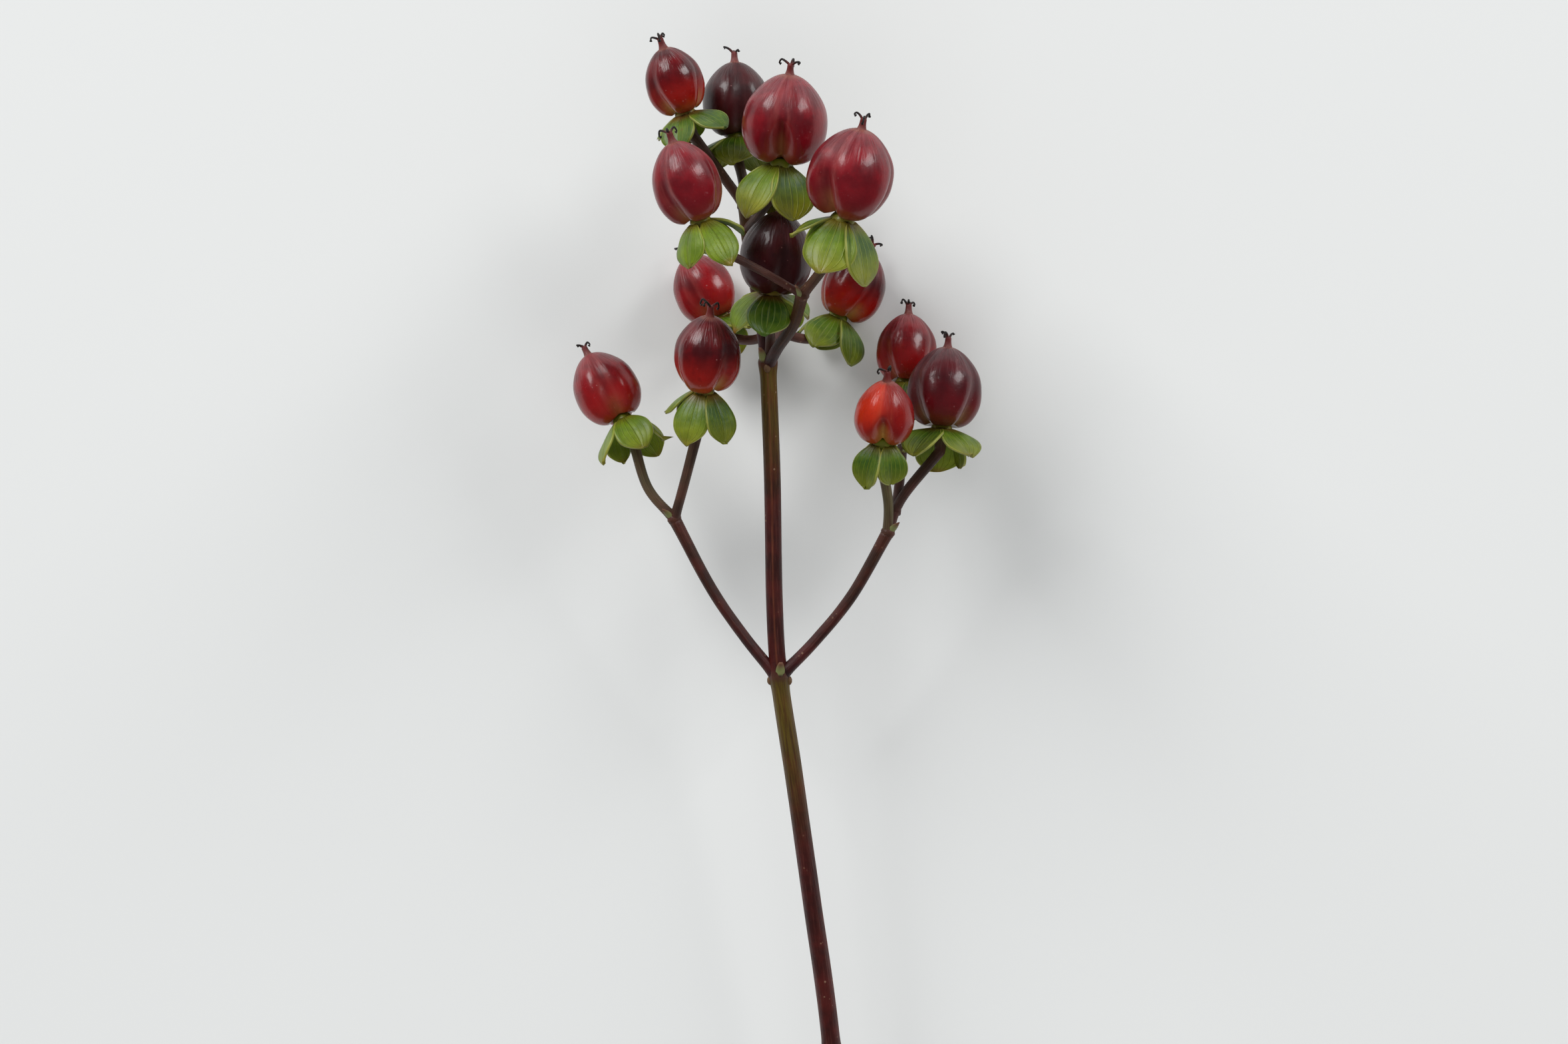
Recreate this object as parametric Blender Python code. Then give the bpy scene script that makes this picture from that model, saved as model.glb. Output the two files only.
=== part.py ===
"""Hypericum berry stem: one cut stem with its fruits, laid on its back on a flat surface.

Metres, +Z up. X runs across the stem, Y from the cut end to the tip, and Z = 0 is the surface.
The stem rests on its cut end and on the two berries of its back branch.
"""

import math
import random
from collections import namedtuple

import bmesh
import bpy
from mathutils import Matrix, Vector

MM = 0.001

# Driving dimensions, in millimetres
FRAME_SHIFT = (0.8, -202.1, 0.0)
CUT_RADIUS = 1.7
AXIS_RADIUS = 1.38
UPPER_AXIS_RADIUS = 1.0
BRANCH_RADIUS = 0.95
PEDICEL_RADIUS = 0.82
PEDICEL_END_RADIUS = 1.02
CUT_SLANT = 35.0
NODE_SWELLING = 0.2
NODE_REACH = 1.6
NODE_SPACING = 65.3
SCAR_RADIUS = 0.62
AXIS_STEP = 15.0

RECEPTACLE_TOP = 2.1
RECEPTACLE_FOOT = 1.15
RECEPTACLE_HEIGHT = 1.7
SEAT_GAP = 0.3
SEPAL_LENGTH = 8.6
SEPAL_WIDTH = 7.5
SEPAL_THICKNESS = 0.65
SEPAL_ROOT = 1.5
SEPALS = 5

LOBES = 3
LOBE_DEPTH = 0.17
GROOVE_WIDTH = 0.30
EGG = 0.11
YOUNG_EGG = 0.19
NECK_RADIUS = 0.75
NECK_LENGTH = 1.5
STYLE_RADIUS = 0.27
STYLE_LENGTH = 2.1

YOUNG_FRUIT = 3
BERRY_SIDES = 15
BERRY_RINGS = 9

# The main axis, cut end to the upper fork
AXIS = (
    (15.5, 0.0, 1.5),
    (16.4, 66.0, 5.0),
    (15.0, 132.0, 9.4),
    (10.9, 200.0, 14.2),
    (8.4, 233.4, 16.9),
    (5.2, 258.0, 18.8),
    (2.3, 279.6, 20.6),
    (0.0, 296.0, 22.0),
    (-0.7, 309.4, 23.1),
    (-0.9, 329.6, 24.8),
    (-1.5, 348.7, 26.3),
)
LOWER_FORK_Y = 296.0
UPPER_FORK_Y = 348.7

Branch = namedtuple("Branch", "radius points")
Fruit = namedtuple("Fruit", "stalk foot centre width height groove turn bend")

# The points of each branch, from inside the wood that it grows from to its own fork
BRANCHES = {
    "left": Branch(BRANCH_RADIUS, (
        (0.0, 295.4, 22.0), (-5.6, 302.3, 22.5), (-11.3, 310.7, 23.2), (-17.4, 322.4, 24.0))),
    "right": Branch(BRANCH_RADIUS, (
        (0.0, 295.6, 22.0), (6.2, 302.0, 22.2), (12.4, 309.8, 22.6), (18.3, 320.3, 23.0))),
    "front": Branch(BRANCH_RADIUS, (
        (-1.5, 348.2, 26.2), (0.6, 351.3, 31.2), (3.6, 355.2, 37.0), (5.3, 360.0, 41.5))),
    "back": Branch(BRANCH_RADIUS, (
        (-1.5, 348.4, 26.2), (-1.3, 350.6, 21.4), (-1.1, 352.4, 16.8), (-1.0, 353.4, 13.0))),
    "top": Branch(UPPER_AXIS_RADIUS, (
        (-1.5, 347.9, 26.2), (-3.1, 358.5, 26.0), (-4.7, 368.0, 26.5), (-5.3, 374.5, 27.0))),
}

# Each fruit: two points of its stalk, a point below the berry and the berry's centre, its width and
# height, the angles in degrees by which its grooves and its sepals are turned round it, and the angle
# by which its sepals are bent back
FRUITS = (
    # On the left branch
    Fruit(((-17.4, 322.4, 24.0), (-21.9, 327.6, 23.6)),
          (-26.0, 338.0, 21.4), (-29.6, 344.3, 19.6), 10.9, 12.6, 10, 20, 36),
    Fruit(((-17.4, 322.4, 24.0), (-15.6, 328.0, 26.4)),
          (-11.8, 343.6, 29.6), (-11.1, 350.4, 31.2), 11.1, 12.6, 50, 50, 42),
    # On the right branch
    Fruit(((18.3, 320.3, 23.0), (18.4, 325.6, 24.6)),
          (17.7, 335.4, 28.2), (18.1, 340.9, 29.8), 9.7, 10.5, 0, 30, 46),
    Fruit(((18.3, 320.3, 23.0), (20.6, 326.0, 22.2)),
          (27.1, 337.1, 20.6), (27.6, 344.5, 19.8), 12.4, 13.4, 62, 40, 40),
    Fruit(((19.5, 323.4, 22.6), (20.2, 330.2, 18.4)),
          (20.6, 344.2, 9.8), (20.8, 350.8, 8.4), 10.2, 11.6, 70, 36, 45),
    # In the upper fork, then on the front branch
    Fruit(((-1.2, 349.4, 26.6), (-0.9, 353.2, 28.8)),
          (-0.2, 360.6, 34.2), (0.6, 366.9, 35.4), 11.8, 13.2, 20, 9, 28),
    Fruit(((5.3, 360.0, 41.5), (-0.6, 363.6, 44.4)),
          (-10.4, 371.0, 46.4), (-12.8, 378.1, 47.4), 10.9, 13.0, 80, 30, 40),
    Fruit(((5.3, 360.0, 41.5), (8.6, 363.9, 44.0)),
          (12.0, 371.4, 46.6), (13.7, 379.3, 47.6), 13.9, 14.3, 85, 60, 38),
    # On the back branch, resting on the surface
    Fruit(((-1.0, 353.4, 13.0), (3.4, 352.2, 9.4)),
          (8.6, 355.2, 5.5), (11.6, 361.5, 4.95), 11.0, 12.2, 40, 54, 40),
    Fruit(((-1.0, 353.4, 13.0), (-5.6, 352.0, 9.0)),
          (-11.2, 355.0, 5.5), (-14.4, 361.0, 4.95), 10.6, 11.8, 100, 36, 40),
    # At the top
    Fruit(((-4.9, 370.6, 26.7), (-2.6, 373.0, 30.4)),
          (1.4, 380.6, 36.0), (2.3, 388.4, 37.6), 13.7, 14.3, 0, 34, 48),
    Fruit(((-5.3, 374.5, 27.0), (-5.7, 378.6, 25.4)),
          (-6.8, 385.5, 23.4), (-7.1, 392.2, 22.6), 11.2, 12.4, 15, 3, 22),
    Fruit(((-5.3, 374.5, 27.0), (-8.6, 379.2, 28.6)),
          (-14.6, 389.4, 31.2), (-16.4, 394.9, 32.0), 9.5, 10.9, 75, 50, 25),
)


def clear_scene():
    for obj in list(bpy.data.objects):
        bpy.data.objects.remove(obj, do_unlink=True)


def new_collection(name):
    collection = bpy.data.collections.new(name)
    bpy.context.scene.collection.children.link(collection)
    return collection


def new_material(name, colour, roughness):
    material = bpy.data.materials.new(name)
    material.use_nodes = True
    shader = material.node_tree.nodes["Principled BSDF"]
    shader.inputs["Base Color"].default_value = (*colour, 1.0)
    shader.inputs["Roughness"].default_value = roughness
    shader.inputs["Metallic"].default_value = 0.0
    return material


def placed(point):
    """A point given in millimetres, moved to the part's origin, in metres."""
    return Vector([MM * (value + shift) for value, shift in zip(point, FRAME_SHIFT)])


def smooth_path(points, steps):
    """A Catmull-Rom curve through the points, with the given number of steps between neighbours."""
    knots = [2 * points[0] - points[1], *points, 2 * points[-1] - points[-2]]
    path = []
    for first, second, third, fourth in zip(knots, knots[1:], knots[2:], knots[3:]):
        for step in range(steps):
            t = step / steps
            path.append(
                0.5 * (2 * second + (third - first) * t
                       + (2 * first - 5 * second + 4 * third - fourth) * t ** 2
                       + (3 * second - first - 3 * third + fourth) * t ** 3)
            )
    path.append(points[-1].copy())
    return path


def at_height(path, y):
    """The point of a path that rises along Y where it passes the given y."""
    for low, high in zip(path, path[1:]):
        if low.y <= y <= high.y:
            return low.lerp(high, (y - low.y) / (high.y - low.y))
    return path[-1].copy() if y > path[-1].y else path[0].copy()


def new_piece(name, mesh):
    piece = bpy.data.objects.new(name, mesh)
    bpy.context.scene.collection.objects.link(piece)
    return piece


def piece_from(name, bm):
    """An object that holds the bmesh, with its faces turned outwards."""
    bmesh.ops.recalc_face_normals(bm, faces=bm.faces[:])
    mesh = bpy.data.meshes.new(name)
    bm.to_mesh(mesh)
    bm.free()
    return new_piece(name, mesh)


def evaluated_mesh(obj):
    graph = bpy.context.evaluated_depsgraph_get()
    return bpy.data.meshes.new_from_object(obj.evaluated_get(graph))


def tube(name, path, radii, resolution):
    """A closed tube: a bevelled curve made a mesh, with its caps welded to its sides."""
    curve = bpy.data.curves.new(name, "CURVE")
    curve.dimensions = "3D"
    curve.bevel_depth = 1.0
    curve.bevel_resolution = resolution
    curve.use_fill_caps = True
    spline = curve.splines.new("POLY")
    spline.points.add(len(path) - 1)
    for point, place, radius in zip(spline.points, path, radii):
        point.co = (*place, 1.0)
        point.radius = radius
    guide = new_piece(name, curve)
    mesh = evaluated_mesh(guide)
    place = guide.matrix_world.copy()
    bpy.data.objects.remove(guide)
    bm = bmesh.new()
    bm.from_mesh(mesh)
    bmesh.ops.remove_doubles(bm, verts=bm.verts[:], dist=0.001 * MM)
    piece = piece_from(name, bm)
    piece.matrix_world = place
    return piece


def cut(bm, point, normal):
    """Removes what is behind the plane and closes the cut."""
    geometry = bm.verts[:] + bm.edges[:] + bm.faces[:]
    found = bmesh.ops.bisect_plane(
        bm, geom=geometry, dist=0.0001 * MM, plane_co=point, plane_no=normal, clear_inner=True
    )
    edges = [item for item in found["geom_cut"] if isinstance(item, bmesh.types.BMEdge)]
    bmesh.ops.holes_fill(bm, edges=edges, sides=0)


def cut_piece(piece, point, normal):
    bm = bmesh.new()
    bm.from_mesh(piece.data)
    cut(bm, point, normal)
    bmesh.ops.recalc_face_normals(bm, faces=bm.faces[:])
    bm.to_mesh(piece.data)
    bm.free()


def union(name, pieces, parts, material):
    """One object from the union of the pieces, which are removed."""
    body, *others = pieces
    joined = new_collection(name + "_joined")
    for piece in others:
        joined.objects.link(piece)
    modifier = body.modifiers.new("join", "BOOLEAN")
    modifier.operation = "UNION"
    modifier.operand_type = "COLLECTION"
    modifier.collection = joined
    modifier.solver = "MANIFOLD"
    mesh = evaluated_mesh(body)
    for piece in pieces:
        bpy.data.objects.remove(piece, do_unlink=True)
    bpy.data.collections.remove(joined)
    mesh.name = name
    mesh.materials.clear()
    mesh.materials.append(material)
    mesh.shade_smooth()
    whole = bpy.data.objects.new(name, mesh)
    parts.objects.link(whole)
    return whole


def axis_radius(y):
    """The main axis' radius in metres at a distance from the cut end in millimetres."""
    radius = CUT_RADIUS + (AXIS_RADIUS - CUT_RADIUS) * min(1.0, y / UPPER_FORK_Y)
    swelling = sum(math.exp(-(((y - node) / NODE_REACH) ** 2)) for node in axis_nodes())
    return MM * radius * (1.0 + NODE_SWELLING * swelling)


def axis_nodes():
    """Where the leaves stood along the main axis, from the upper fork down."""
    nodes = [UPPER_FORK_Y, LOWER_FORK_Y]
    while nodes[-1] > NODE_SPACING / 2:
        nodes.append(nodes[-1] - NODE_SPACING)
    return [node for node in nodes if node > 0.0]


def axis_path():
    return smooth_path([placed(point) for point in AXIS], 12)


def main_axis():
    """The main axis as one tube, with a ring on each side of every node and a slanting cut."""
    path = axis_path()
    count = int(UPPER_FORK_Y / AXIS_STEP)
    stations = {round(AXIS_STEP * step, 1) for step in range(1, count)}
    for node in axis_nodes():
        stations = {y for y in stations if abs(y - node) > 4.5}
        stations |= {round(node + offset, 1) for offset in (-3.2, -1.3, 0.0, 1.3, 3.2)}
    stations = sorted(y for y in stations if 2.0 < y < UPPER_FORK_Y + 1.5)
    points = [at_height(path, MM * (y + FRAME_SHIFT[1])) for y in stations]
    radii = [axis_radius(y) for y in stations]
    points.insert(0, 2 * points[0] - points[1])
    radii.insert(0, radii[0])
    axis = tube("axis", points, radii, 2)
    slant = math.radians(CUT_SLANT)
    foot = at_height(path, MM * (2.6 + FRAME_SHIFT[1]))
    cut_piece(axis, foot, Vector((math.sin(slant), math.cos(slant), 0.0)))
    cut_piece(axis, Vector((0.0, 0.0, 0.0)), Vector((0.0, 0.0, 1.0)))
    return axis


def scars():
    """The scars of the fallen leaves: two low knobs, turned a quarter round from node to node."""
    path = axis_path()
    pieces = []
    for number, node in enumerate(axis_nodes()):
        centre = at_height(path, MM * (node - 0.9 + FRAME_SHIFT[1]))
        sideways = number % 2 == 1
        for sign in (-1, 1):
            out = Vector((sign, 0, 0)) if sideways else Vector((0, 0, sign))
            bm = bmesh.new()
            bmesh.ops.create_icosphere(bm, subdivisions=1, radius=SCAR_RADIUS * MM)
            bmesh.ops.scale(bm, vec=Vector((1.0, 1.5, 1.0)), verts=bm.verts[:])
            place = centre + out * axis_radius(node) * 0.92
            bmesh.ops.translate(bm, vec=place, verts=bm.verts[:])
            pieces.append(piece_from("scar", bm))
    return pieces


def branch(name):
    """A side branch, thicker at both ends."""
    radius, points = BRANCHES[name]
    path = smooth_path([placed(point) for point in points], 3)
    last = len(path) - 1
    radii = [MM * radius * (1.0 + 0.16 * abs(2 * step / last - 1) ** 4) for step in range(last + 1)]
    return tube(name, path, radii, 2)


def fruit_frame(fruit):
    """The fruit's own frame: its origin at the berry's foot, Z towards its tip and X towards the sky."""
    foot, centre = placed(fruit.foot), placed(fruit.centre)
    z_axis = (centre - foot).normalized()
    y_axis = z_axis.cross(Vector((0.0, 0.0, 1.0))).normalized()
    x_axis = y_axis.cross(z_axis)
    turn = Matrix((x_axis, y_axis, z_axis)).transposed().to_4x4()
    origin = centre - z_axis * MM * fruit.height / 2
    return Matrix.Translation(origin) @ turn


def pedicel(number, fruit):
    """The stalk of one fruit. It ends just short of the calyx and swells there."""
    frame = fruit_frame(fruit)
    depth = 2 * SEAT_GAP + RECEPTACLE_HEIGHT
    end = frame @ Vector((0.0, 0.0, -depth * MM))
    before = frame @ Vector((0.0, 0.0, -(depth + 1.8) * MM))
    path = smooth_path([placed(point) for point in fruit.stalk] + [before], 3) + [end]
    last = len(path) - 1
    swell = PEDICEL_END_RADIUS - PEDICEL_RADIUS
    radii = [MM * (PEDICEL_RADIUS + swell * (step / last) ** 3) for step in range(last + 1)]
    return tube("pedicel_%02d" % number, path, radii, 1)


def forks():
    """The knot at each branch's fork, with what is left of its two small bracts."""
    pieces = []
    for radius, points in BRANCHES.values():
        end, before = placed(points[-1]), placed(points[-2])
        side = (end - before).cross(Vector((0.0, 1.0, 0.4))).normalized()
        bm = bmesh.new()
        bmesh.ops.create_uvsphere(bm, u_segments=8, v_segments=4, radius=1.4 * radius * MM)
        bmesh.ops.translate(bm, vec=end, verts=bm.verts[:])
        pieces.append(piece_from("fork", bm))
        for sign in (-1, 1):
            bm = bmesh.new()
            bmesh.ops.create_icosphere(bm, subdivisions=1, radius=0.75 * SCAR_RADIUS * MM)
            bmesh.ops.translate(bm, vec=end + side * sign * radius * MM, verts=bm.verts[:])
            pieces.append(piece_from("knob", bm))
    return pieces


def build_stem(parts, material):
    """The wood: the main axis, the branches and the stalks of the fruits, grown as one."""
    pieces = [main_axis()] + scars() + forks()
    pieces += [branch(name) for name in BRANCHES]
    pieces += [pedicel(number, fruit) for number, fruit in enumerate(FRUITS, 1)]
    return union("stem", pieces, parts, material)


def berry_point(direction, fruit, egg, turn):
    """Where a point of the unit sphere lies on a berry: an egg with three lobes, widest low down."""
    angle = math.atan2(direction.y, direction.x) - turn
    spread = 2 * math.pi / LOBES
    off = (angle + spread / 2) % spread - spread / 2
    groove = math.exp(-((off / GROOVE_WIDTH) ** 2))
    deep = LOBE_DEPTH * (0.25 + 0.75 * (0.5 - 0.5 * direction.z))
    radius = MM * fruit.width / 2 * (1.0 - egg * direction.z) * (1.0 - deep * groove)
    lift = MM * fruit.height / 2 * (1.0 + direction.z)
    return Vector((direction.x * radius, direction.y * radius, lift))


def build_berry(number, fruit, parts, material):
    """A berry with its neck and its three curled styles. One that rests on the surface is flat there."""
    turn = math.radians(fruit.groove)
    egg = YOUNG_EGG if number == YOUNG_FRUIT else EGG
    frame = fruit_frame(fruit)
    bm = bmesh.new()
    bmesh.ops.create_uvsphere(bm, u_segments=BERRY_SIDES, v_segments=BERRY_RINGS, radius=1.0)
    bmesh.ops.rotate(bm, matrix=Matrix.Rotation(turn, 3, "Z"), verts=bm.verts[:])
    for vert in bm.verts:
        vert.co = berry_point(vert.co, fruit, egg, turn)
    pieces = [piece_from("body", bm)]

    bm = bmesh.new()
    bmesh.ops.create_cone(
        bm, cap_ends=True, segments=6, depth=MM * (NECK_LENGTH + 0.9),
        radius1=MM * NECK_RADIUS * 1.9, radius2=MM * NECK_RADIUS * 0.7,
    )
    middle = fruit.height + (NECK_LENGTH - 0.9) / 2
    bmesh.ops.translate(bm, vec=Vector((0.0, 0.0, MM * middle)), verts=bm.verts[:])
    pieces.append(piece_from("neck", bm))

    top = fruit.height + NECK_LENGTH
    for style in range(LOBES):
        angle = turn + 2 * math.pi * (style + 0.5) / LOBES
        out = Vector((math.cos(angle), math.sin(angle), 0.0))
        reach = STYLE_LENGTH * MM
        path = [
            Vector((0, 0, MM * (top - 0.7))) + out * 0.1 * MM,
            Vector((0, 0, MM * top)) + out * (0.25 * reach),
            Vector((0, 0, MM * top + 0.3 * reach)) + out * (0.62 * reach),
            Vector((0, 0, MM * top + 0.2 * reach)) + out * reach,
        ]
        pieces.append(tube("style", path, [STYLE_RADIUS * MM] * len(path), 0))
    for piece in pieces:
        piece.data.transform(frame)
    berry = union("berry_%02d" % number, pieces, parts, material)
    if min(corner.co.z for corner in berry.data.vertices) < 0.0:
        cut_piece(berry, Vector((0.0, 0.0, 0.0)), Vector((0.0, 0.0, 1.0)))
    return berry


def sepal(length, width, bend, curl, cup, turn, frame):
    """One sepal: a thin curved blade with a rounded tip, which grows from inside the receptacle."""
    bm = bmesh.new()
    bmesh.ops.create_grid(bm, x_segments=2, y_segments=4, size=1.0)
    for vert in bm.verts:
        across, along = vert.co.x, (vert.co.y + 1) / 2
        half = width / 2 * math.sin(math.pi * (0.035 + 0.885 * along ** 1.1)) ** 0.6
        along -= 0.13 * across ** 2 * along ** 3
        angle = bend + curl * along
        reach = SEPAL_ROOT + length / curl * (math.sin(angle) - math.sin(bend))
        drop = 0.75 + length / curl * (math.cos(bend) - math.cos(angle))
        lift = cup * half * across ** 2 * min(1.0, 2.5 * along)
        vert.co = MM * Vector((
            reach + lift * math.sin(angle), across * half, -drop + lift * math.cos(angle)
        ))
    bmesh.ops.triangulate(bm, faces=bm.faces[:])
    bmesh.ops.solidify(bm, geom=bm.faces[:], thickness=SEPAL_THICKNESS * MM)
    place = frame @ Matrix.Rotation(turn, 4, "Z")
    bmesh.ops.transform(bm, matrix=place, verts=bm.verts[:])
    return bm


def clear_sepal(length, width, bend, curl, cup, turn, frame):
    """A sepal that stays above the surface: one that would reach it is pressed further back."""
    bm = sepal(length, width, bend, curl, cup, turn, frame)
    while min(vert.co.z for vert in bm.verts) < 0.3 * MM and bend < math.radians(110):
        bm.free()
        bend += math.radians(6)
        length *= 0.97
        bm = sepal(length, width, bend, curl, cup, turn, frame)
    return piece_from("sepal", bm)


def build_calyx(number, fruit, parts, material):
    """The five unequal sepals on the receptacle under a berry, bent back from it."""
    chance = random.Random(400 + number)
    frame = fruit_frame(fruit)
    size = fruit.width / 12.0
    bm = bmesh.new()
    bmesh.ops.create_cone(
        bm, cap_ends=True, segments=10, depth=MM * RECEPTACLE_HEIGHT,
        radius1=MM * RECEPTACLE_FOOT, radius2=MM * RECEPTACLE_TOP,
    )
    middle = -MM * (SEAT_GAP + RECEPTACLE_HEIGHT / 2)
    bmesh.ops.translate(bm, vec=Vector((0.0, 0.0, middle)), verts=bm.verts[:])
    bmesh.ops.transform(bm, matrix=frame, verts=bm.verts[:])
    pieces = [piece_from("receptacle", bm)]
    for place in range(SEPALS):
        big = 1.0 if place % 2 == 0 else 0.78
        length = SEPAL_LENGTH * size * big * chance.uniform(0.88, 1.1)
        width = SEPAL_WIDTH * size * big * chance.uniform(0.85, 1.1)
        bend = math.radians(max(14, fruit.bend + chance.uniform(-20, 10)))
        curl = math.radians(chance.uniform(24, 58))
        cup = chance.uniform(-0.28, 0.22)
        turn = math.radians(fruit.turn + 360 / SEPALS * place + chance.uniform(-6, 6))
        pieces.append(clear_sepal(length, width, bend, curl, cup, turn, frame))
    return union("calyx_%02d" % number, pieces, parts, material)


def build():
    clear_scene()
    parts = new_collection("hypericum_berry_stem")
    wood = new_material("stem_bark", (0.085, 0.022, 0.018), 0.5)
    ripe = new_material("berry_skin", (0.20, 0.012, 0.022), 0.32)
    young = new_material("berry_skin_bright", (0.42, 0.022, 0.012), 0.32)
    green = new_material("sepal_green", (0.24, 0.34, 0.045), 0.55)
    build_stem(parts, wood)
    for number, fruit in enumerate(FRUITS, 1):
        skin = young if number == YOUNG_FRUIT else ripe
        build_berry(number, fruit, parts, skin)
        build_calyx(number, fruit, parts, green)


build()
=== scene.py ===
"""Hypericum berry stem, dressed: one cut stem with its fruits, laid on its back on a pale surface.

Metres, +Z up. X runs across the stem, Y from the cut end to the tip, and Z = 0 is the surface.
Lengths in the dataclasses are millimetres, and placed() turns them into places in the frame.
"""

import logging
import math
import random
from dataclasses import dataclass, field
from enum import Enum
from typing import Any, Callable, Mapping, Sequence

import bmesh
import bpy
from mathutils import Matrix, Vector, noise


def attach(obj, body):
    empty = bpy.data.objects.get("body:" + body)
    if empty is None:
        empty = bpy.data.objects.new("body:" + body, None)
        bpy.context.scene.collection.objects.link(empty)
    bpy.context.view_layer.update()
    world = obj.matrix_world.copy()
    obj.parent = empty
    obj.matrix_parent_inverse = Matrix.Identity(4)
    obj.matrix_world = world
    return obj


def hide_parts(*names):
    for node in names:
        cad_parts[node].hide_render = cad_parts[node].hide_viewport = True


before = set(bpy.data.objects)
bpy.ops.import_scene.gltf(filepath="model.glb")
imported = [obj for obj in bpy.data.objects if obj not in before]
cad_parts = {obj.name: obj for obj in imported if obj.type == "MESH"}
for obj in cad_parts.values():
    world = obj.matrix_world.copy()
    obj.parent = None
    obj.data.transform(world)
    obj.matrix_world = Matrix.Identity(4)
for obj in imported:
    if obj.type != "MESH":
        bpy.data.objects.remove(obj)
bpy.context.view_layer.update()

LOG = logging.getLogger("hypericum_berry_stem")

MM = 0.001
FRAME_SHIFT = (0.8, -202.1, 0.0)
BODY = "root"

Colour = tuple[float, float, float]
Triple = tuple[float, float, float]
Traits = Mapping[str, float]
Sockets = Mapping[int | str, Any]

ORIGIN = Vector((0.0, 0.0, 0.0))
ACROSS = Vector((1.0, 0.0, 0.0))
ALONG = Vector((0.0, 1.0, 0.0))
UP = Vector((0.0, 0.0, 1.0))
BARK_TRAITS = ("green", "ridge", "scar")
STREAKS_PER_MM = 0.035
USUAL_BERRY_WIDTH = 12.0


def paint(red: int, green: int, blue: int) -> Colour:
    """A colour as light, from the numbers 0 to 255 by which a screen shows it.

    Args:
        red: The red number.
        green: The green number.
        blue: The blue number.

    Returns:
        The linear colour.
    """
    shares = [value / 255 for value in (red, green, blue)]
    light = [s / 12.92 if s <= 0.04045 else ((s + 0.055) / 1.055) ** 2.4 for s in shares]
    return (light[0], light[1], light[2])


def placed(point: Sequence[float]) -> Vector:
    """A point given in millimetres along the stem, moved to the frame's origin, in metres."""
    return Vector([MM * (value + shift) for value, shift in zip(point, FRAME_SHIFT)])


def smoothstep(value: float, low: float, high: float) -> float:
    """The soft step of a number, from 0 at low to 1 at high."""
    share = min(1.0, max(0.0, (value - low) / (high - low)))
    return share * share * (3.0 - 2.0 * share)


def bell(value: float, width: float) -> float:
    """A soft hump, 1 at no value and about a third of that at the width."""
    return math.exp(-((value / width) ** 2))


def wobble(turn: float, along: float, ring: float = 1.0) -> float:
    """The uneven growth of a round twig at an angle and a distance along it."""
    return noise.noise(Vector((math.cos(turn) * ring, math.sin(turn) * ring, along)))


def bark_traits(green: float, ridge: float = 0.0, scar: float = 0.0) -> Traits:
    """The numbers that the bark's finish reads: how green, on a raised line, and on a scar."""
    return dict(zip(BARK_TRAITS, (green, ridge, scar)))


def smooth_path(points: Sequence[Vector], steps: int) -> list[Vector]:
    """A Catmull-Rom curve through the points.

    Args:
        points: The points that it passes.
        steps: The steps between two neighbours.

    Returns:
        The places along the curve.
    """
    knots = [2 * points[0] - points[1], *points, 2 * points[-1] - points[-2]]
    path = []
    for first, second, third, fourth in zip(knots, knots[1:], knots[2:], knots[3:]):
        for step in range(steps):
            t = step / steps
            path.append(
                0.5 * (2 * second + (third - first) * t
                       + (2 * first - 5 * second + 4 * third - fourth) * t ** 2
                       + (3 * second - first - 3 * third + fourth) * t ** 3)
            )
    path.append(points[-1].copy())
    return path


def in_scene(name: str, content: bpy.types.ID) -> bpy.types.Object:
    """Puts a mesh, a light or a camera into the scene.

    Args:
        name: The object's name.
        content: What it shows.

    Returns:
        The object.
    """
    thing = bpy.data.objects.new(name, content)
    bpy.context.scene.collection.objects.link(thing)
    return thing


class Slot(Enum):
    """The names of material slots, which a piece only writes to the log."""

    STEM = "stem"
    BERRY = "berry"
    YOUNG = "berry_young"
    CALYX = "calyx"


class Ripeness(Enum):
    """How far a berry has coloured."""

    CRIMSON = "crimson"
    GARNET = "garnet"
    BURGUNDY = "burgundy"
    DARK = "dark"
    RED = "red"
    BRIGHT = "bright"


# Shader maths


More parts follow.
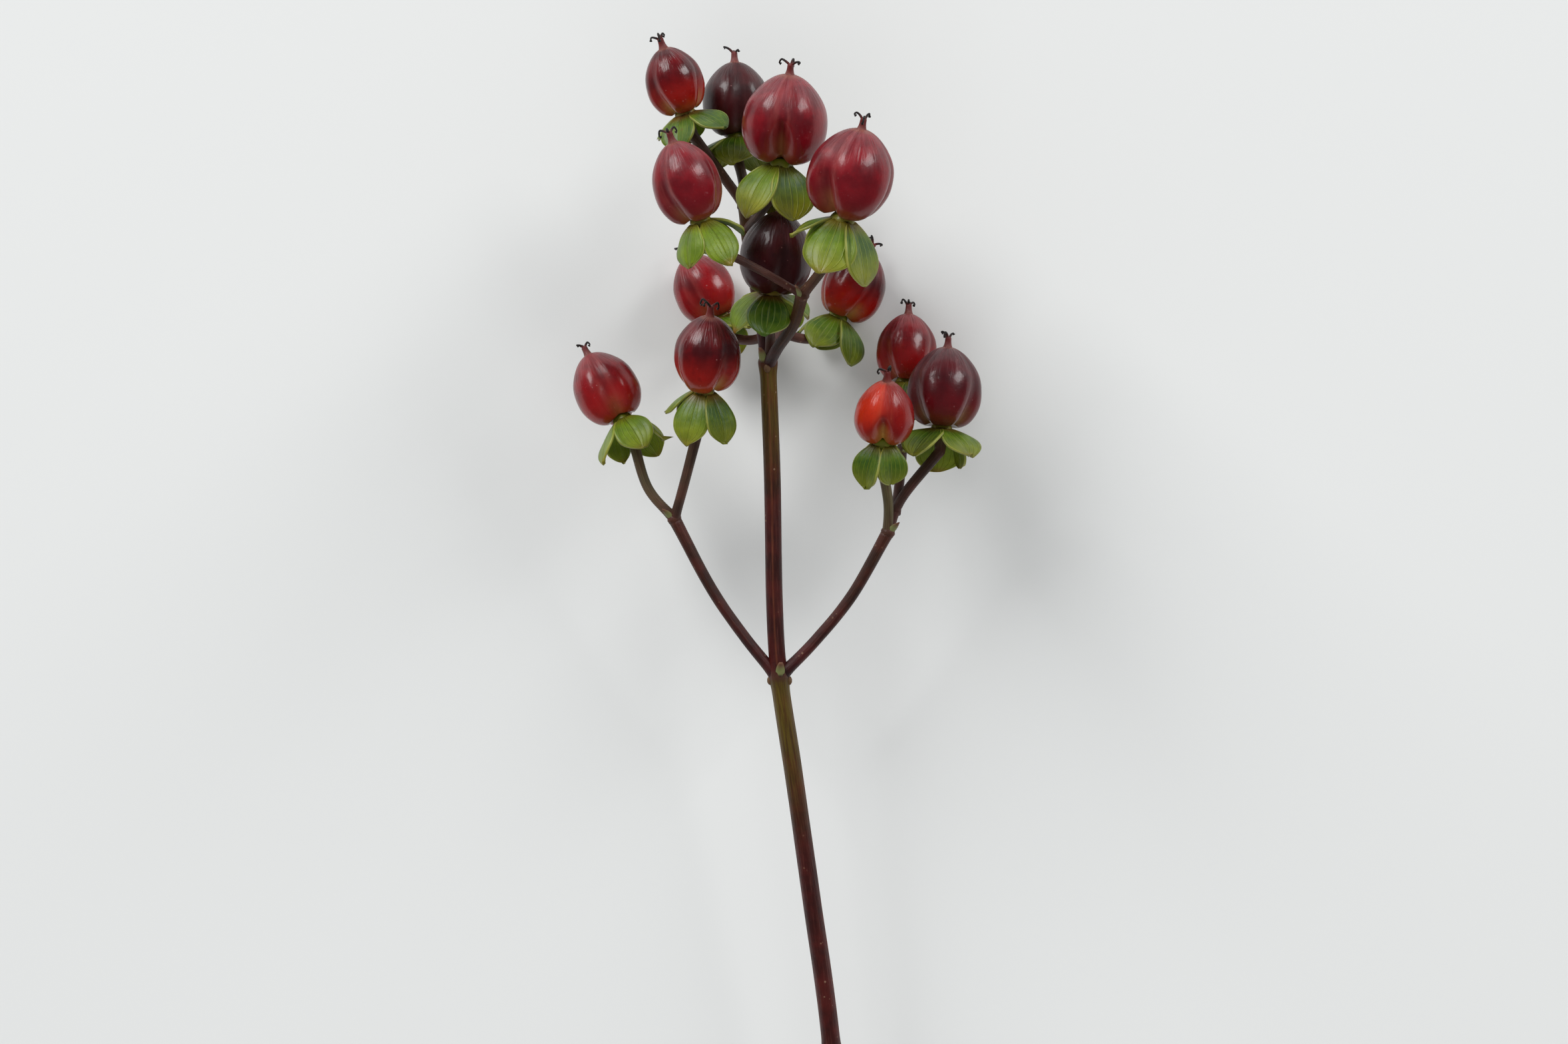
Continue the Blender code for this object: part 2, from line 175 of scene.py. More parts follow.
class Field:
    """A number, colour or vector that varies over a surface, as the socket that carries it."""

    def __init__(self, palette: "Palette", socket: bpy.types.NodeSocket) -> None:
        """Wraps an output of one of the palette's nodes."""
        self.palette = palette
        self.socket = socket

    def _maths(self, operation: str, *numbers: "Number") -> "Field":
        """One Math node on one or two numbers."""
        values = dict(enumerate(numbers))
        return self.palette.field("ShaderNodeMath", {"operation": operation}, values)

    def __add__(self, other: "Number") -> "Field":
        """self + other."""
        return self._maths("ADD", self, other)

    def __radd__(self, other: "Number") -> "Field":
        """other + self."""
        return self._maths("ADD", other, self)

    def __sub__(self, other: "Number") -> "Field":
        """self - other."""
        return self._maths("SUBTRACT", self, other)

    def __rsub__(self, other: "Number") -> "Field":
        """other - self."""
        return self._maths("SUBTRACT", other, self)

    def __mul__(self, other: "Number") -> "Field":
        """self * other."""
        return self._maths("MULTIPLY", self, other)

    def __rmul__(self, other: "Number") -> "Field":
        """other * self."""
        return self._maths("MULTIPLY", other, self)

    def fraction(self) -> "Field":
        """What is left of the number past its whole part."""
        return self._maths("FRACT", self)

    def size(self) -> "Field":
        """The number without its sign."""
        return self._maths("ABSOLUTE", self)

    def step(self, low: float, high: float, start: float = 0.0, end: float = 1.0) -> "Field":
        """The soft step of this number.

        Args:
            low: Where the step starts.
            high: Where it ends.
            start: The value before the step.
            end: The value after it.

        Returns:
            The stepped number.
        """
        settings = {"interpolation_type": "SMOOTHSTEP"}
        numbers = (self, low, high, start, end)
        return self.palette.field("ShaderNodeMapRange", settings, dict(enumerate(numbers)))

    def fade(self, low: float, high: float) -> "Field":
        """The soft step down from 1 at low to 0 at high."""
        return self.step(low, high, 1.0, 0.0)


Number = float | Field
Tint = Colour | Field


class Palette:
    """One material and the nodes that mix it."""

    def __init__(self, name: str) -> None:
        """Starts an empty material.

        Args:
            name: The material's name.
        """
        self.material = bpy.data.materials.new(name)
        self.material.use_nodes = True
        self.tree = self.material.node_tree
        self.tree.nodes.clear()

    def node(self, kind: str, settings: Mapping[str, Any], values: Sockets) -> bpy.types.Node:
        """A node of any kind, with its settings made first and its sockets filled after them.

        Args:
            kind: The node's type.
            settings: Its properties; stops are a ramp's places and colours.
            values: A number, colour or Field for each socket, by number or name.

        Returns:
            The node.
        """
        node = self.tree.nodes.new(kind)
        for name, value in settings.items():
            if name == "stops":
                ramp = node.color_ramp
                while len(ramp.elements) < len(value):
                    ramp.elements.new(1.0)
                for element, (position, colour) in zip(ramp.elements, value):
                    element.position = position
                    element.color = (*colour, 1.0)
            else:
                setattr(node, name, value)
        for key, value in values.items():
            socket = node.inputs[key]
            if isinstance(value, Field):
                self.tree.links.new(value.socket, socket)
            elif isinstance(value, tuple) and socket.type == "RGBA":
                socket.default_value = (*value, 1.0)
            else:
                socket.default_value = value
        return node

    def field(
        self, kind: str, settings: Mapping[str, Any], values: Sockets, output: int | str = 0
    ) -> Field:
        """One output of a new node, by its number or name."""
        return Field(self, self.node(kind, settings, values).outputs[output])

    def trait(self, name: str) -> Field:
        """A number that the mesh keeps for each point."""
        return self.field("ShaderNodeAttribute", {"attribute_name": name}, {}, "Fac")

    def grain(self) -> Field:
        """The mesh's own coordinates for streaks, which follow the surface."""
        return self.field("ShaderNodeAttribute", {"attribute_name": "grain"}, {}, "Vector")

    def place(self) -> Field:
        """The place in the object's frame."""
        return self.field("ShaderNodeTexCoord", {}, {}, "Object")

    def cloud(
        self, vector: Field, scale: float, detail: float = 2.0, roughness: float = 0.5
    ) -> Field:
        """Soft noise from about 0 to 1, by how many to the metre and how many finer layers."""
        values = {"Vector": vector, "Scale": scale, "Detail": detail, "Roughness": roughness}
        return self.field("ShaderNodeTexNoise", {}, values, "Fac")

    def dots(self, vector: Field, scale: float, near: float, far: float) -> Field:
        """Scattered round dots, 1 inside the near share of a cell and 0 past the far one."""
        values = {"Vector": vector, "Scale": scale}
        return self.field("ShaderNodeTexVoronoi", {}, values, "Distance").fade(near, far)

    def mix(self, share: Number, first: Tint, second: Tint) -> Field:
        """A colour between two, the first at 0 and the second at 1."""
        settings = {"data_type": "RGBA", "clamp_factor": True}
        return self.field("ShaderNodeMix", settings, {0: share, 6: first, 7: second}, 2)

    def bump(self, height: Field, depth: float) -> Field:
        """A normal from a height of 0 to 1, where 1 stands for the depth in metres."""
        values = {"Strength": 1.0, "Distance": depth, "Height": height}
        return self.field("ShaderNodeBump", {}, values, "Normal")

    def finish(self, **sockets: Any) -> bpy.types.Material:
        """Ends the material with its shader.

        Args:
            **sockets: A value or Field for each socket, with _ for a space in its name.

        Returns:
            The material.
        """
        values = {name.replace("_", " "): value for name, value in sockets.items()}
        shader = self.field("ShaderNodeBsdfPrincipled", {}, values, "BSDF")
        self.node("ShaderNodeOutputMaterial", {}, {"Surface": shader})
        return self.material


# Finishes


@dataclass(frozen=True)
class BerrySkin:
    """The skin of a berry: lobes with pale seams and painted shade in the grooves, a pale waxy coat
    with a painted sheen above, and fine pale specks.
    """

    ripe: Colour
    deep: Colour
    belly: Colour
    foot: Colour
    seam: Colour = paint(160, 72, 66)
    crown: Colour = paint(142, 86, 72)
    # The pale mauve of the waxy coat and how strongly it shows; these also paint a sheen on the
    # upper half.
    wax_and_sheen: Colour = paint(156, 94, 100)
    bloom_and_sheen: float = 0.4
    seam_share: float = 0.3
    foot_share: float = 0.6
    gloss: float = 0.27
    sided: float = 0.0

    def material(self, name: str) -> bpy.types.Material:
        """Mixes the skin.

        Args:
            name: The material's name.

        Returns:
            The material.
        """
        p = Palette(name)
        rise, off = p.trait("rise"), p.trait("off")
        place, grain = p.place(), p.grain()
        patches = p.cloud(place, 260.0, 3.0, 0.55)
        streaks = p.cloud(grain, 5.0, 3.0, 0.6)
        ribs = p.cloud(grain, 11.0, 1.0, 0.5)
        fine = p.cloud(place, 1500.0, 2.0, 0.6)
        seam = off.step(0.06, 0.16) * off.fade(0.2, 0.42)
        # groove: the mask of a painted shade in the grooves, below the middle of the berry.
        groove = off.fade(0.0, 0.15) * rise.step(0.3, 0.8, 1.0, 0.2)
        side = p.field("ShaderNodeSeparateXYZ", {}, {0: grain}, 1)
        valley = off.fade(0.0, 0.5)
        tone = patches.step(0.36, 0.68) * (1.0 - self.sided)
        tone = tone + side.step(-0.35, 0.3, self.sided, 0.0)
        skin = p.mix(tone, self.deep, self.ripe)
        skin = p.mix(rise.fade(0.2, 0.62) * (0.6 + 0.5 * patches), skin, self.belly)
        foot = rise.fade(0.02, 0.27) * (0.15 + 0.85 * valley)
        foot = foot + rise.step(0.0, 0.05, 0.5, 0.0)
        skin = p.mix(foot * self.foot_share, skin, self.foot)
        seams = seam * rise.step(0.05, 0.3, 0.5, 1.0) * streaks.step(0.3, 0.75) * self.seam_share
        skin = p.mix(seams, skin, self.seam)
        # Painted shade: the grooves are mixed darker, towards the deep red, mostly below the middle
        # and fading out at the foot.
        skin = p.mix(groove * rise.step(0.2, 0.5) * 0.35, skin, self.deep)
        # Waxy coat and painted sheen: the upper half, towards the tip where the light falls, is
        # mixed paler in streaks, and the lobes a little between the grooves.
        bloom_and_sheen = rise.step(0.45, 0.98) * (0.25 + 0.75 * streaks.step(0.36, 0.7))
        bloom_and_sheen = bloom_and_sheen + (1.0 - valley) * 0.1 * fine
        skin = p.mix(bloom_and_sheen * self.bloom_and_sheen, skin, self.wax_and_sheen)
        blotch = p.cloud(place, 620.0, 4.0, 0.7)
        skin = p.mix(blotch.step(0.5, 0.66) * 0.22, skin, self.deep)
        scuffs = p.cloud(place, 1100.0, 3.0, 0.75).step(0.6, 0.72) * patches.step(0.45, 0.7)
        skin = p.mix(scuffs * (0.12 + 0.5 * self.bloom_and_sheen), skin, self.wax_and_sheen)
        crown = rise.step(0.95, 0.99) * (0.55 + 0.45 * streaks)
        skin = p.mix(crown * 0.85, skin, self.crown)
        specks = p.dots(place, 900.0, 0.08, 0.15) * p.cloud(place, 420.0).step(0.48, 0.68)
        skin = p.mix(specks * 0.3, skin, paint(180, 118, 114))
        height = (streaks + ribs) * rise.step(0.5, 0.92, 0.06, 0.6) + fine * 0.08 + specks * 0.1
        return p.finish(
            Base_Color=skin,
            Roughness=self.gloss + bloom_and_sheen * 0.22 + crown * 0.2 + scuffs * 0.15 + valley * 0.2,
            Normal=p.bump(height, 0.0003),
            Specular_IOR_Level=0.38,
            Coat_Weight=0.22 - valley * 0.2,
            Coat_Roughness=0.1,
        )


@dataclass(frozen=True)
class NeckSkin:
    """The neck on a berry's tip, dull pink at its foot and red above."""

    foot: Colour = paint(122, 60, 50)
    top: Colour = paint(104, 24, 22)

    def material(self, name: str) -> bpy.types.Material:
        """Mixes the neck's red.

        Args:
            name: The material's name.

        Returns:
            The material.
        """
        p = Palette(name)
        streaks = p.cloud(p.grain(), 8.0, 2.0, 0.6)
        skin = p.mix(p.trait("rise").step(0.05, 0.7), self.foot, self.top)
        skin = p.mix(streaks.step(0.5, 0.75) * 0.4, skin, paint(96, 30, 26))
        return p.finish(Base_Color=skin, Roughness=0.42, Normal=p.bump(streaks, 0.0001))


@dataclass(frozen=True)
class StyleHorn:
    """A dried style, red at its root and nearly black at its curled end."""

    root: Colour = paint(118, 34, 28)
    end: Colour = paint(26, 17, 16)

    def material(self, name: str) -> bpy.types.Material:
        """Mixes the dry horn.

        Args:
            name: The material's name.

        Returns:
            The material.
        """
        p = Palette(name)
        streaks = p.cloud(p.grain(), 9.0, 2.0, 0.6)
        skin = p.mix(p.trait("rise").step(0.05, 0.5), self.root, self.end)
        skin = p.mix(streaks.step(0.55, 0.75) * 0.25, skin, paint(92, 66, 52))
        return p.finish(Base_Color=skin, Roughness=0.5, Normal=p.bump(streaks, 0.00006))


@dataclass(frozen=True)
class SepalLeaf:
    """A sepal: green with fine long veins, a pale rim and a flush of red near its root."""

    dark: Colour = paint(48, 80, 8)
    light: Colour = paint(112, 136, 16)
    yellow: Colour = paint(164, 148, 34)
    vein: Colour = paint(140, 160, 48)
    rim: Colour = paint(172, 168, 84)
    flush: Colour = paint(134, 60, 34)
    flush_share: float = 0.35
    age: float = 0.2

    def material(self, name: str) -> bpy.types.Material:
        """Mixes the leaf green.

        Args:
            name: The material's name.

        Returns:
            The material.
        """
        p = Palette(name)
        along, across, shade = p.trait("along"), p.trait("across"), p.trait("shade")
        place = p.place()
        patches = p.cloud(place, 300.0, 3.0, 0.6)
        fine = p.cloud(place, 1400.0, 2.0, 0.6)
        wave = (patches - 0.5) * 0.22
        lines = ((across * 3.6 + wave + 0.5).fraction() - 0.5).size()
        vein = lines.fade(0.02, 0.13) * along.step(0.86, 1.0, 1.0, 0.2)
        middle = across.size().fade(0.0, 0.07) * along.fade(0.6, 0.95)
        edge = across.size().step(0.93, 0.995) * (0.4 + patches)
        tone = patches.step(0.3, 0.72) * 0.55 + shade * 0.75 - 0.15
        green = p.mix(tone, self.dark, self.light)
        green = p.mix(fine.step(0.45, 0.8) * 0.25, green, paint(92, 116, 30))
        green = p.mix(vein * 0.36 + middle * 0.35, green, self.vein)
        green = p.mix(along.step(0.35, 1.0) * (0.3 + patches) * self.age, green, self.yellow)
        red = along.fade(0.0, 0.3) * 0.8 + along.step(0.84, 1.0) * (shade * 0.9)
        green = p.mix(red * self.flush_share, green, self.flush)
        rust = p.dots(place, 520.0, 0.12, 0.2) * patches.step(0.55, 0.7) * 0.45
        green = p.mix(rust, green, paint(104, 62, 30))
        green = p.mix(edge * 0.5, green, self.rim)
        height = vein * 0.5 + middle * 0.8 + patches * 0.9 + fine * 0.2
        return p.finish(
            Base_Color=green,
            Roughness=0.33 + patches * 0.16,
            Normal=p.bump(height, 0.00018),
            Specular_IOR_Level=0.4,
            Subsurface_Weight=0.12,
            Subsurface_Radius=(0.6, 1.0, 0.2),
            Subsurface_Scale=0.0005,
        )


@dataclass(frozen=True)
class StemBark:
    """The young bark: maroon above a node and olive under the next, with two pale raised lines."""

    maroon: Colour = paint(78, 18, 13)
    deep: Colour = paint(48, 10, 7)
    olive: Colour = paint(88, 72, 10)
    line: Colour = paint(124, 68, 40)
    scar: Colour = paint(120, 92, 62)

    def material(self, name: str) -> bpy.types.Material:
        """Mixes the bark.

        Args:
            name: The material's name.

        Returns:
            The material.
        """
        p = Palette(name)
        green, ridge, scar = p.trait("green"), p.trait("ridge"), p.trait("scar")
        place, grain = p.place(), p.grain()
        patches = p.cloud(place, 180.0, 3.0, 0.6)
        streaks = p.cloud(grain, 5.0, 4.0, 0.62)
        fine = p.cloud(place, 1800.0, 2.0, 0.6)
        bark = p.mix(patches.step(0.35, 0.7), self.deep, self.maroon)
        bark = p.mix(streaks.step(0.5, 0.72) * 0.5, bark, paint(96, 50, 40))
        olive = green * (0.45 + 0.8 * streaks.step(0.32, 0.62))
        bark = p.mix(olive, bark, self.olive)
        bark = p.mix(ridge.step(0.5, 1.0) * streaks.step(0.3, 0.7, 0.12, 0.5), bark, self.line)
        pores = p.dots(place, 760.0, 0.1, 0.17) * patches.step(0.5, 0.62) * 0.55
        bark = p.mix(pores, bark, paint(150, 118, 92))
        bark = p.mix(scar * (0.4 + 0.6 * fine), bark, self.scar)
        height = streaks * 0.7 + fine * 0.25 + pores * 0.5
        return p.finish(
            Base_Color=bark,
            Roughness=0.4 + streaks * 0.14 + scar * 0.2,
            Normal=p.bump(height, 0.00016),
            Specular_IOR_Level=0.38,
        )


@dataclass(frozen=True)
class CutWood:
    """The cut face: a green ring under the bark, pale wood in rays, and the pith."""

    centre: Triple = (0.0, 0.0, 0.0)
    radius: float = 1.7

    def material(self, name: str) -> bpy.types.Material:
        """Mixes the wood by its distance from the middle.

        Args:
            name: The material's name.

        Returns:
            The material.
        """
        p = Palette(name)
        place = p.place()
        ends = {0: place, 1: self.centre}
        away = p.field("ShaderNodeVectorMath", {"operation": "DISTANCE"}, ends, 1)
        share = away * (1.0 / (self.radius * MM))
        fine = p.cloud(place, 2600.0, 3.0, 0.6)
        stops = (
            (0.0, paint(206, 190, 150)), (0.2, paint(196, 176, 132)), (0.27, paint(150, 126, 84)),
            (0.34, paint(222, 210, 172)), (0.72, paint(214, 204, 160)), (0.84, paint(150, 156, 84)),
            (0.95, paint(92, 66, 42)),
        )
        wood = p.field("ShaderNodeValToRGB", {"stops": stops}, {0: share + (fine - 0.5) * 0.12})
        wood = p.mix(fine.step(0.5, 0.75) * 0.35, wood, paint(150, 126, 88))
        return p.finish(Base_Color=wood, Roughness=0.75, Normal=p.bump(fine, 0.0001))


@dataclass(frozen=True)
class BractScale:
    """The small leaf scales left at the forks, pale green with dry tips."""

    green: Colour = paint(112, 116, 66)
    dry: Colour = paint(104, 66, 44)

    def material(self, name: str) -> bpy.types.Material:
        """Mixes the scale.

        Args:
            name: The material's name.

        Returns:
            The material.
        """
        p = Palette(name)
        patches = p.cloud(p.place(), 900.0, 2.0, 0.6)
        skin = p.mix(p.trait("along").step(0.4, 0.95) * (0.5 + patches), self.green, self.dry)
        skin = p.mix(p.trait("along").step(0.0, 0.25, 0.8, 0.0), skin, paint(70, 38, 30))
        return p.finish(Base_Color=skin, Roughness=0.6, Normal=p.bump(patches, 0.0001))


@dataclass(frozen=True)
class PaleSurface:
    """The plain pale surface that the stem lies on."""

    tone: Colour = (0.80, 0.81, 0.80)

    def material(self, name: str) -> bpy.types.Material:
        """Mixes the surface.

        Args:
            name: The material's name.

        Returns:
            The material.
        """
        p = Palette(name)
        cloud = p.cloud(p.place(), 3.0, 2.0, 0.5)
        tone = p.mix(cloud * 0.25, self.tone, (0.74, 0.75, 0.75))
        return p.finish(Base_Color=tone, Roughness=0.9, Specular_IOR_Level=0.2)


SKINS: dict[Ripeness, BerrySkin] = {
    Ripeness.CRIMSON: BerrySkin(
        ripe=paint(128, 7, 22), deep=paint(90, 4, 16), belly=paint(112, 6, 18),
        foot=paint(156, 110, 58), bloom_and_sheen=0.36, seam_share=0.4, foot_share=0.48),
    Ripeness.GARNET: BerrySkin(
        ripe=paint(98, 5, 12), deep=paint(62, 4, 9), belly=paint(150, 20, 10),
        foot=paint(172, 126, 60), bloom_and_sheen=0.14, seam_share=0.08, foot_share=0.8, gloss=0.2),
    Ripeness.BURGUNDY: BerrySkin(
        ripe=paint(86, 4, 16), deep=paint(58, 4, 12), belly=paint(96, 8, 16),
        foot=paint(124, 92, 44), bloom_and_sheen=0.3, seam_share=0.08, foot_share=0.75),
    Ripeness.DARK: BerrySkin(
        ripe=paint(64, 8, 13), deep=paint(42, 6, 10), belly=paint(58, 9, 13),
        foot=paint(62, 40, 26), seam=paint(84, 38, 36), wax_and_sheen=paint(98, 42, 44),
        bloom_and_sheen=0.22, seam_share=0.2, foot_share=0.4, gloss=0.32),
    Ripeness.RED: BerrySkin(
        ripe=paint(130, 6, 16), deep=paint(92, 4, 12), belly=paint(146, 14, 14),
        foot=paint(156, 90, 46), bloom_and_sheen=0.3, seam_share=0.3, foot_share=0.6, gloss=0.25),
    Ripeness.BRIGHT: BerrySkin(
        ripe=paint(198, 42, 8), deep=paint(122, 5, 8), belly=paint(124, 12, 10),
        foot=paint(186, 140, 62), seam=paint(186, 84, 50), wax_and_sheen=paint(190, 92, 84),
        bloom_and_sheen=0.12, seam_share=0.3, foot_share=0.85, gloss=0.24, sided=0.85),
}


# Shapes


@dataclass
class Station:
    """One ring of a tube: its middle, its two directions and its radius all round."""

    middle: Vector
    right: Vector
    up: Vector
    radius: Callable[[float], float]
    traits: Callable[[float], Traits]
    travel: float

    def point(self, turn: float) -> Vector:
        """The ring's point at an angle."""
        out = self.right * math.cos(turn) + self.up * math.sin(turn)
        return self.middle + out * self.radius(turn)


class Shaper:
    """A mesh in the making, with the numbers for each point that its finish reads."""

    def __init__(self, *traits: str) -> None:
        """Starts an empty mesh.

        Args:
            *traits: The names of the numbers that each point keeps.
        """
        self.bm = bmesh.new()
        self.turn = self.bm.verts.layers.float.new("turn")
        self.grain = self.bm.verts.layers.float_vector.new("grain")
        self.traits = {name: self.bm.verts.layers.float.new(name) for name in traits}

    def note(self, vert: bmesh.types.BMVert, traits: Traits, grain: Triple) -> None:
        """Writes a point's numbers.

        Args:
            vert: The point.
            traits: Its numbers by name.
            grain: Its coordinates for streaks.
        """
        for name, value in traits.items():
            vert[self.traits[name]] = value
        vert[self.grain] = grain

    def sweep(self, stations: Sequence[Station], sides: int, material: int = 0) -> None:
        """Draws a ring out from station to station and closes both ends.

        Args:
            stations: The rings in order.
            sides: The number of sides of a ring.
            material: The number of the finish on its faces.
        """
        before = set(self.bm.faces)
        ring = bmesh.ops.create_circle(self.bm, segments=sides, radius=1.0)["verts"]
        for vert in ring:
            vert[self.turn] = math.atan2(vert.co.y, vert.co.x)
        edges = list({edge for vert in ring for edge in vert.link_edges})
        first = list(edges)
        self._settle(ring, stations[0])
        for station in stations[1:]:
            drawn = bmesh.ops.extrude_edge_only(self.bm, edges=edges)["geom"]
            ring = [item for item in drawn if isinstance(item, bmesh.types.BMVert)]
            known = set(ring)
            edges = [
                item for item in drawn
                if isinstance(item, bmesh.types.BMEdge) and known.issuperset(item.verts)
            ]
            self._settle(ring, station)
        bmesh.ops.holes_fill(self.bm, edges=first + edges, sides=0)
        for face in set(self.bm.faces) - before:
            face.material_index = material

    def _settle(self, ring: Sequence[bmesh.types.BMVert], station: Station) -> None:
        """Moves a ring's points to their station.

        Args:
            ring: The points.
            station: Where they belong.
        """
        for vert in ring:
            turn = vert[self.turn]
            vert.co = station.point(turn)
            grain = (math.cos(turn), math.sin(turn), station.travel)
            self.note(vert, station.traits(turn), grain)

    def ball(self, size: Vector, place: Matrix, traits: Traits, material: int = 0) -> None:
        """A stretched ball.

        Args:
            size: Its half axes, in metres.
            place: Where it sits.
            traits: The numbers that its points keep.
            material: The number of its finish.
        """
        made = bmesh.ops.create_icosphere(self.bm, subdivisions=2, radius=1.0)["verts"]
        bmesh.ops.scale(self.bm, vec=size, verts=made)
        for vert in made:
            self.note(vert, traits, tuple(vert.co / MM * 0.3))
        bmesh.ops.transform(self.bm, matrix=place, verts=made)
        for face in {face for vert in made for face in vert.link_faces}:
            face.material_index = material

    def cut(self, point: Vector, normal: Vector, material: int = 0) -> list[bmesh.types.BMFace]:
        """Removes what is behind a plane and closes the cut.

        Args:
            point: A point of the plane.
            normal: The direction of what is kept.
            material: The number of the finish on the cut.

        Returns:
            The new faces.
        """
        whole = self.bm.verts[:] + self.bm.edges[:] + self.bm.faces[:]
        found = bmesh.ops.bisect_plane(
            self.bm, geom=whole, dist=0.0001 * MM, plane_co=point, plane_no=normal, clear_inner=True
        )
        edges = [item for item in found["geom_cut"] if isinstance(item, bmesh.types.BMEdge)]
        faces = bmesh.ops.holes_fill(self.bm, edges=edges, sides=0)["faces"]
        for face in faces:
            face.material_index = material
        return faces

    def piece(
        self, name: str, materials: Sequence[bpy.types.Material], nodes: Sequence[str], slot: Slot
    ) -> bpy.types.Object:
        """Ends the mesh as a piece that rides on the stem's body.

        Args:
            name: The piece's name.
            materials: Its finishes in order.
            nodes: The solids that it stands for.
            slot: The name of its slot, which is only written to the log.

        Returns:
            The piece.
        """
        bmesh.ops.recalc_face_normals(self.bm, faces=self.bm.faces[:])
        mesh = bpy.data.meshes.new(name)
        self.bm.to_mesh(mesh)
        self.bm.free()
        mesh.shade_smooth()
        for material in materials:
            mesh.materials.append(material)
        piece = in_scene(name, mesh)
        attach(piece, BODY)
        if nodes:
            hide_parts(*nodes)
        LOG.info("%s: %d faces, slot %s", name, len(mesh.polygons), slot.value)
        return piece


def stations_along(
    path: Sequence[Vector],
    start: Vector,
    radius: Callable[[float, float], float],
    traits: Callable[[float, float], Traits],
) -> list[Station]:
    """The rings of a tube along a path, turned as little as may be from each to the next.

    Args:
        path: The middles.
        start: A direction for the first ring's angle 0.
        radius: The radius in metres, from the share of the way and the angle.
        traits: The numbers of a point, from the share of the way and the angle.

    Returns:
        The stations.
    """
    stations = []
    right, travel = start, 0.0
    last = len(path) - 1
    for step, middle in enumerate(path):
        tangent = (path[min(last, step + 1)] - path[max(0, step - 1)]).normalized()
        right = (right - tangent * right.dot(tangent)).normalized()
        if step:
            travel += (middle - path[step - 1]).length / MM
        share = step / last
        stations.append(
            Station(
                middle.copy(), right.copy(), tangent.cross(right),
                lambda turn, share=share: radius(share, turn),
                lambda turn, share=share: traits(share, turn),
                travel * STREAKS_PER_MM,
            )
        )
    return stations


# The wood


